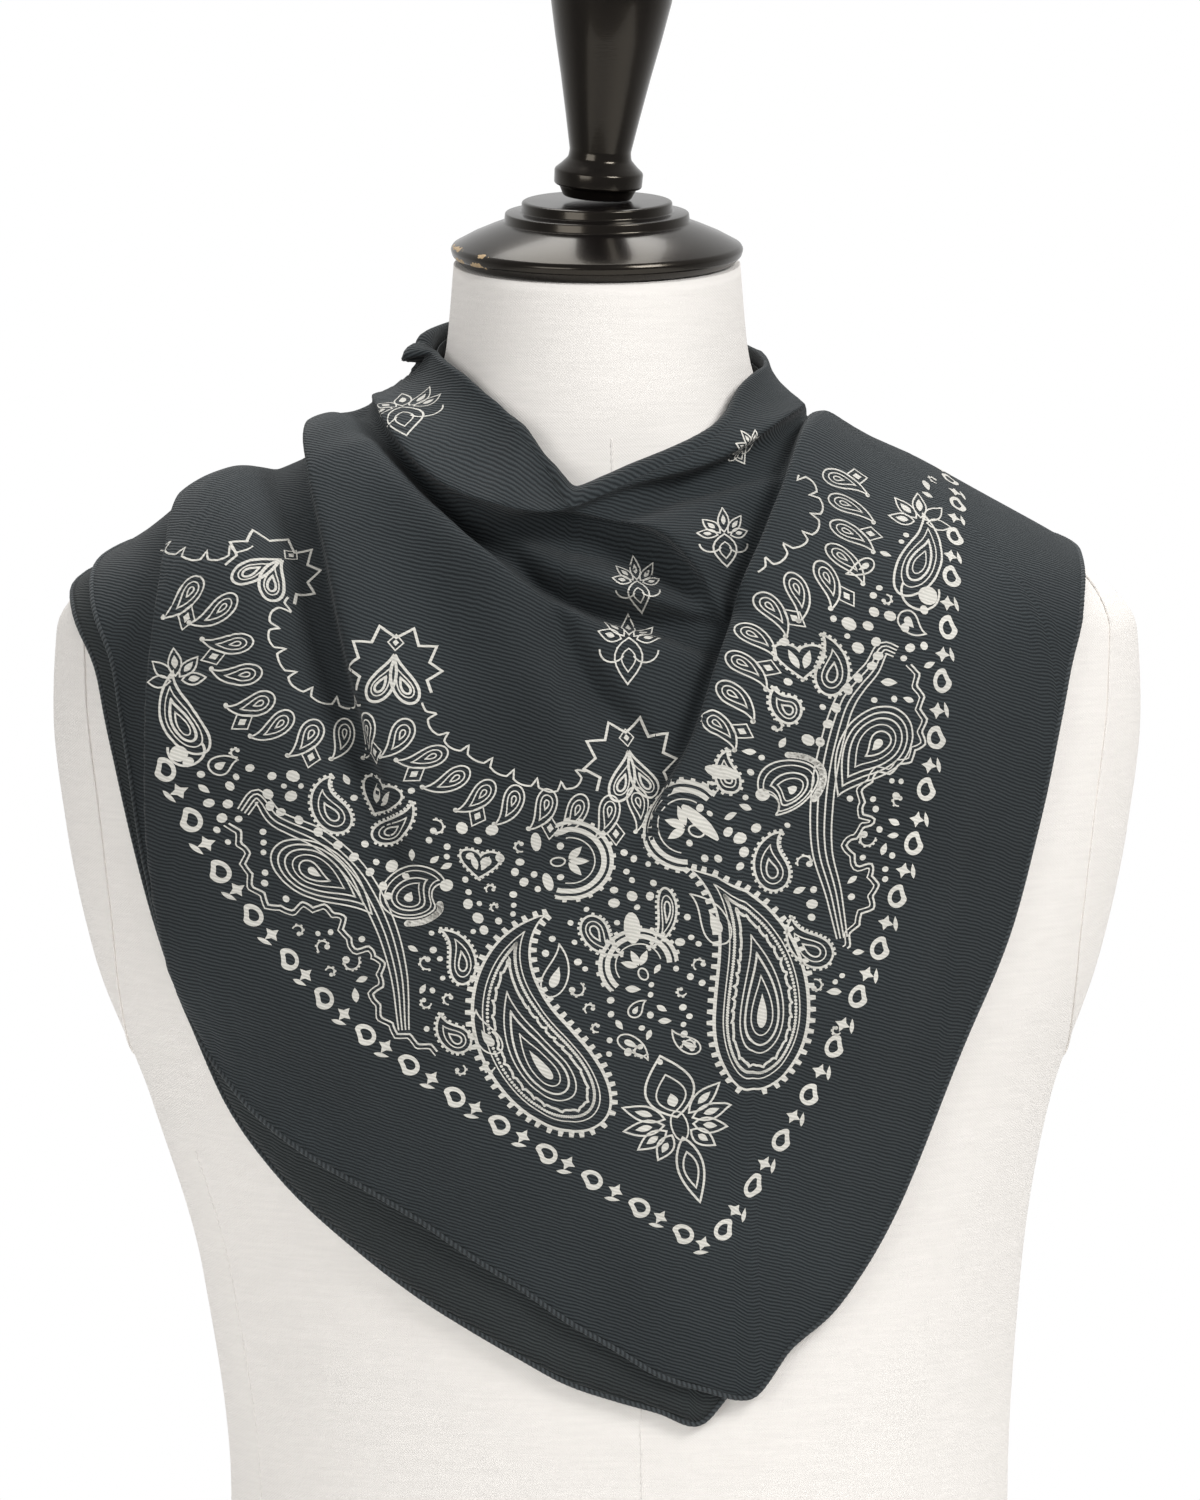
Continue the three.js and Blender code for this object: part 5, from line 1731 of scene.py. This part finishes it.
class BANDANA_OT_tails(bpy.types.Operator):
    """Hang the two short tails from the knot"""

    bl_idname = "bandana.tails"
    bl_label = "Tails"

    # start and end aside, length, stand-off, and the run between the knot's height and the top
    TAILS = (
        ("left_tail", -5.5, -13, 104, 5.6, -0.6, 0.0),
        ("right_tail", 5.5, 15, 97, 9.6, 2.2, 1.7),
    )
    WIDTHS = ((0, 7), (0.2, 15), (0.45, 20), (0.75, 12), (1, 1.2))
    KNOT_RUN = 53
    KNOT_HALF = 16
    STEPS = (44, 96)

    def execute(self, context):
        wall = context.scene.bandana_sizes.wall
        half_at = smooth_table(*zip(*self.WIDTHS))
        for name, begin, end, length, stand, gap, turn in self.TAILS:
            down = np.linspace(0, 1, self.STEPS[1] + 1)[None]
            across = np.linspace(-1, 1, self.STEPS[0] + 1)[:, None]
            run = self.KNOT_RUN + self.KNOT_HALF + gap + down * length
            middle = (begin + (end - begin) * down) * (1 + down)
            radius = np.abs(FORM.at(np.full(run.shape, 180.0), run)[0][..., 1])
            aside = middle + across * half_at(down)
            angle = 180 - np.degrees(aside / radius)
            angle = np.where(angle > 180, angle - 360, angle)
            wave = np.cos(across * 4 + turn) * (1 - down)
            pleats = 0.8 * np.cos(across * 11 + turn * 2 + 2 * down) * (1 - down) ** 1.5
            height = stand + 1.2 * wave + pleats + 1.1 * down * np.cos(across * 2.4 + turn)
            run = np.broadcast_to(run, angle.shape)
            places, normals = FORM.at(angle, run)
            points = (places + normals * height[..., None])[::-1]
            flat = np.stack([aside, -np.broadcast_to(run, aside.shape)], axis=-1)[::-1]
            tail = grid_piece(name + "_cloth", points, flat)
            add_modifier(tail, "SOLIDIFY", thickness=wall, offset=-1)
            give(tail, finish_named("printed"), (name,))
            edge = np.concatenate([points[0, :], points[1:, -1], points[-1, -2::-1]])
            outward = Layer(points, flat, 0).normals
            outs = np.concatenate([outward[0, :], outward[1:, -1], outward[-1, -2::-1]])
            line, out = resampled(edge, 0.8, outs)
            hem = tube_along(name + "_hem", line, unit(out), 0.95, 8, 0.06)
            give(hem, finish_named("hem"))
        return {"FINISHED"}


class BANDANA_OT_form(bpy.types.Operator):
    """Model the dress form's linen cover, with its seams and armhole welts"""

    bl_idname = "bandana.form"
    bl_label = "Dress Form"

    SIDES = 180
    ROWS = 190
    WELT = 0.5
    SEAMS = (("front_seam", 5, 60), ("left_side_seam", -72, 420), ("right_side_seam", 98, 420),
             ("back_seam", 176, 60))
    SEAM = 0.55
    SEAM_SUNK = -0.2
    SEAM_END = 860
    STITCH_RISE = 0.35
    STITCH_PITCH = 3.1
    ARMHOLE = (19, 112)  # half its width in degrees round the form, and half its height
    ARMHOLE_MIDDLE = (93, 300)  # its middle, as an angle and a run

    def cover(self):
        angles = np.radians(np.linspace(180, -180, self.SIDES + 1))
        lines = FORM.lines(angles)
        at = np.linspace(0, SECTION_STEPS, self.ROWS)
        low = np.floor(at).astype(int).clip(max=SECTION_STEPS - 1)
        share = (at - low)[None, :, None]
        points = lines[:, low] * (1 - share) + lines[:, low + 1] * share
        normals = unit(np.cross(np.gradient(points, axis=0), np.gradient(points, axis=1)))
        points = points - normals * FORM_INSET
        points[-1] = points[0]
        rows = [points]
        for end in (0, -1):
            ring = points[:, [end]]
            middle = ring[:-1].mean(axis=0, keepdims=True)
            rounds = [middle + (ring - middle) * scale for scale in (0, 0.5, 0.96, 0.992)]
            rows = rounds + rows if end == 0 else rows + rounds[::-1]
        return np.concatenate(rows, axis=1)

    def on_cover(self, angle, run, height):
        places, normals = FORM.at(angle, run)
        return places + normals * (height - FORM_INSET)[..., None], normals

    def execute(self, context):
        cover = grid_piece("form_cover", self.cover(), closed=True)
        give(cover, finish_named("linen"), ("form_body",))
        for name, angle, top in self.SEAMS:
            run = np.arange(top, self.SEAM_END, 1.0)
            line, out = self.on_cover(np.full(run.shape, float(angle)), run,
                                      np.full(run.shape, self.SEAM_SUNK))
            seam = tube_along(name, line, out, self.SEAM, 8, self.STITCH_RISE, self.STITCH_PITCH)
            give(seam, finish_named("linen"))
        for side, name in ((-1, "left"), (1, "right")):
            turn = np.linspace(0, 2 * math.pi, 241)
            angle = side * (self.ARMHOLE_MIDDLE[0] + self.ARMHOLE[0] * np.cos(turn))
            run = self.ARMHOLE_MIDDLE[1] + self.ARMHOLE[1] * np.sin(turn)
            line, out = self.on_cover(angle, run, np.full(turn.shape, 0.25))
            welt = tube_along(name + "_armhole_welt", line, out, self.WELT, 8)
            give(welt, finish_named("linen"))
        return {"FINISHED"}


class BANDANA_OT_neck_top(bpy.types.Operator):
    """Turn the lacquered cap and the finial that stands on it"""

    bl_idname = "bandana.neck_top"
    bl_label = "Cap and Finial"

    CAP = ((54.5, 0.4), (57.6, 3.4), (58.3, 6), (57.4, 7.6), (50, 11.6), (43, 14.6),
           (38.2, 16.4), (37, 16.8), (36.6, 20.4), (31, 20.8), (30, 21.2), (30, 24.6),
           (28.8, 25.2))
    FINIAL = ((13.5, 0.4), (15.4, 4.4), (17.5, 5.2), (17.7, 11), (15.2, 13.2), (12.6, 16),
              (12.2, 19), (14.8, 33), (17.9, 49), (21.3, 65), (24.2, 80), (25.2, 92),
              (23.4, 102), (17, 109.5), (8, 113))
    LEAN = math.radians(4)
    SPIN_STEPS = 128

    def turned(self, name, profile):
        """A solid spun from its profile, which starts and ends on the axis."""
        rows = [(0, profile[0][1]), *profile, (0, profile[-1][1])]
        deselect()
        bpy.ops.mesh.primitive_plane_add(size=MM)
        piece = bpy.context.object
        piece.name = piece.data.name = name
        bpy.ops.object.mode_set(mode="EDIT")
        bpy.ops.mesh.select_all(action="SELECT")
        bpy.ops.mesh.merge(type="CENTER")
        bpy.ops.transform.translate(value=(rows[0][0] * MM, 0, rows[0][1] * MM))
        for before, after in zip(rows, rows[1:]):
            step = ((after[0] - before[0]) * MM, 0, (after[1] - before[1]) * MM)
            bpy.ops.mesh.extrude_vertices_move(TRANSFORM_OT_translate={"value": step})
        bpy.ops.mesh.select_all(action="SELECT")
        bpy.ops.mesh.spin(steps=self.SPIN_STEPS, angle=2 * math.pi, center=(0, 0, 0),
                          axis=(0, 0, 1))
        bpy.ops.mesh.select_all(action="SELECT")
        bpy.ops.mesh.remove_doubles(threshold=1e-6)
        bpy.ops.mesh.normals_make_consistent(inside=False)
        bpy.ops.object.mode_set(mode="OBJECT")
        return piece

    def execute(self, context):
        cap_top = self.CAP[-1][1]
        neck = FORM_SECTIONS[0][0] * MM
        for name, profile, node, lean, lift in (
                ("lacquered_cap", self.CAP, "neck_cap", 0.0, 0.0),
                ("lacquered_finial", self.FINIAL, "finial", self.LEAN,
                 cap_top + math.sin(self.LEAN) * self.FINIAL[0][0])):
            piece = self.turned(name, profile)
            add_modifier(piece, "BEVEL", width=0.0007, segments=3, limit_method="ANGLE",
                         angle_limit=math.radians(16))
            only(piece)
            piece.rotation_euler = (0, lean, 0)
            piece.location = (0, 0, lift * MM)
            bpy.ops.object.transform_apply(location=True, rotation=True, scale=True)
            piece.rotation_euler = (NECK_TILT, 0, 0)
            piece.location = (0, 0, neck)
            bpy.ops.object.transform_apply(location=True, rotation=True, scale=True)
            bpy.ops.object.shade_smooth_by_angle(angle=math.radians(28))
            wear = piece.data.attributes.new("wear", "FLOAT", "POINT")
            places = np.array([vertex.co for vertex in piece.data.vertices]) / MM
            reach = np.hypot(places[:, 0], places[:, 1])
            chipped = np.exp(-((reach - 57.5) / 1.4) ** 2) * (name == "lacquered_cap")
            patch = 0.3 + np.exp(-((places[:, 0] + 49) / 11) ** 2) * (places[:, 1] < 0)
            wear.data.foreach_set("value", (chipped * np.minimum(patch, 1)).astype(np.float32))
            give(piece, finish_named("lacquer"), (node,))
        return {"FINISHED"}


class BANDANA_OT_stage(bpy.types.Operator):
    """Set the pale floor, the soft lights and the camera"""

    bl_idname = "bandana.stage"
    bl_label = "Stage"

    FLOOR = 2.4
    ROOM_FRONT = 0.22
    ROOM_BACK = 0.8
    LIGHTS = (  # name, place, aim, size, share of the key's power
        ("key", (1.7, -1.8, 2.4), (0, -0.05, 0.55), 1.1, 1.0),
        ("fill", (-1.7, -2.5, 1.1), (0, -0.05, 0.5), 1.6, 0.48),
        ("top", (-0.1, 0.7, 2.6), (0, 0, 0.6), 1.4, 0.4),
    )

    def aimed(self, obj, place, target):
        obj.location = place
        obj.rotation_euler = (Vector(target) - Vector(place)).to_track_quat("-Z", "Y").to_euler()

    def execute(self, context):
        deselect()
        bpy.ops.mesh.primitive_plane_add(size=self.FLOOR, location=(0, 0, -0.0005))
        floor = context.object
        floor.name = "floor"
        material, nodes, shader = new_material("pale_floor")
        cloud = nodes.noise(nodes.places(), 3.0)
        colour = nodes.mix(cloud, (0.86, 0.86, 0.855, 1), (0.9, 0.9, 0.895, 1))
        nodes.link(colour, shader.inputs["Base Color"])
        settle(shader, {"Roughness": 0.9})
        floor.data.materials.append(material)
        power = context.scene.bandana_sizes.key_power
        for name, place, target, size, share in self.LIGHTS:
            bpy.ops.object.light_add(type="AREA", location=place)
            light = context.object
            light.name = name
            light.data.energy = power * share
            light.data.size = size
            self.aimed(light, place, target)
        middle = Vector(PICTURE_MIDDLE) * MM
        back = Vector((0, -math.cos(CAMERA_UP), math.sin(CAMERA_UP))) * CAMERA_FAR * MM
        bpy.ops.object.camera_add(location=middle + back)
        camera = context.object
        self.aimed(camera, middle + back, middle)
        camera.data.sensor_fit = "VERTICAL"
        camera.data.angle_y = 2 * math.atan(PICTURE_HIGH / 2 / CAMERA_FAR)
        context.scene.camera = camera
        world = bpy.data.worlds.new("white_room")
        world.use_nodes = True
        nodes = Nodes(world.node_tree)
        room = world.node_tree.nodes["Background"]
        way = nodes.add("ShaderNodeSeparateXYZ", {0: nodes.add(
            "ShaderNodeTexCoord").outputs["Generated"]})
        behind = nodes.add("ShaderNodeMapRange", {
            "Value": way.outputs["Y"], "From Min": -0.2, "From Max": 0.75,
            "To Min": self.ROOM_FRONT, "To Max": self.ROOM_BACK})
        settle(room, {"Color": (1, 1, 1, 1)})
        nodes.link(behind.outputs[0], room.inputs["Strength"])
        plain = nodes.add("ShaderNodeBackground", {"Color": (1, 1, 1, 1), "Strength": 1.0})
        seen = nodes.add("ShaderNodeLightPath").outputs["Is Camera Ray"]
        both = nodes.add("ShaderNodeMixShader", {0: seen, 1: room.outputs[0],
                                                 2: plain.outputs[0]})
        output = world.node_tree.nodes["World Output"]
        nodes.link(both.outputs[0], output.inputs["Surface"])
        context.scene.world = world
        context.scene.view_settings.view_transform = "Standard"
        return {"FINISHED"}


MAKING = (
    BANDANA_OT_stage,
    BANDANA_OT_printed_cloth,
    BANDANA_OT_plain_cloth,
    BANDANA_OT_hems,
    BANDANA_OT_print,
    BANDANA_OT_knot,
    BANDANA_OT_tails,
    BANDANA_OT_form,
    BANDANA_OT_neck_top,
)


class BANDANA_PT_panel(bpy.types.Panel):
    """The bandana's sizes, colours and pieces"""

    bl_label = "Paisley Bandana"
    bl_space_type = "VIEW_3D"
    bl_region_type = "UI"
    bl_category = "Bandana"

    def draw(self, context):
        for group in (context.scene.bandana_sizes, context.scene.bandana_colours):
            for name in group.__annotations__:
                self.layout.prop(group, name)
        for making in MAKING:
            self.layout.operator(making.bl_idname)


CLASSES = (BandanaSizes, BandanaColours, *MAKING, BANDANA_PT_panel)


def register():
    for kind in CLASSES:
        bpy.utils.register_class(kind)
    bpy.types.Scene.bandana_sizes = bpy.props.PointerProperty(type=BandanaSizes)
    bpy.types.Scene.bandana_colours = bpy.props.PointerProperty(type=BandanaColours)


def unregister():
    del bpy.types.Scene.bandana_colours
    del bpy.types.Scene.bandana_sizes
    for kind in reversed(CLASSES):
        bpy.utils.unregister_class(kind)


def main():
    register()
    bpy.ops.bandana.stage()
    bpy.ops.bandana.printed_cloth()
    bpy.ops.bandana.plain_cloth()
    bpy.ops.bandana.hems()
    bpy.ops.bandana.print()
    bpy.ops.bandana.knot()
    bpy.ops.bandana.tails()
    bpy.ops.bandana.form()
    bpy.ops.bandana.neck_top()


if __name__ == "__main__":
    main()
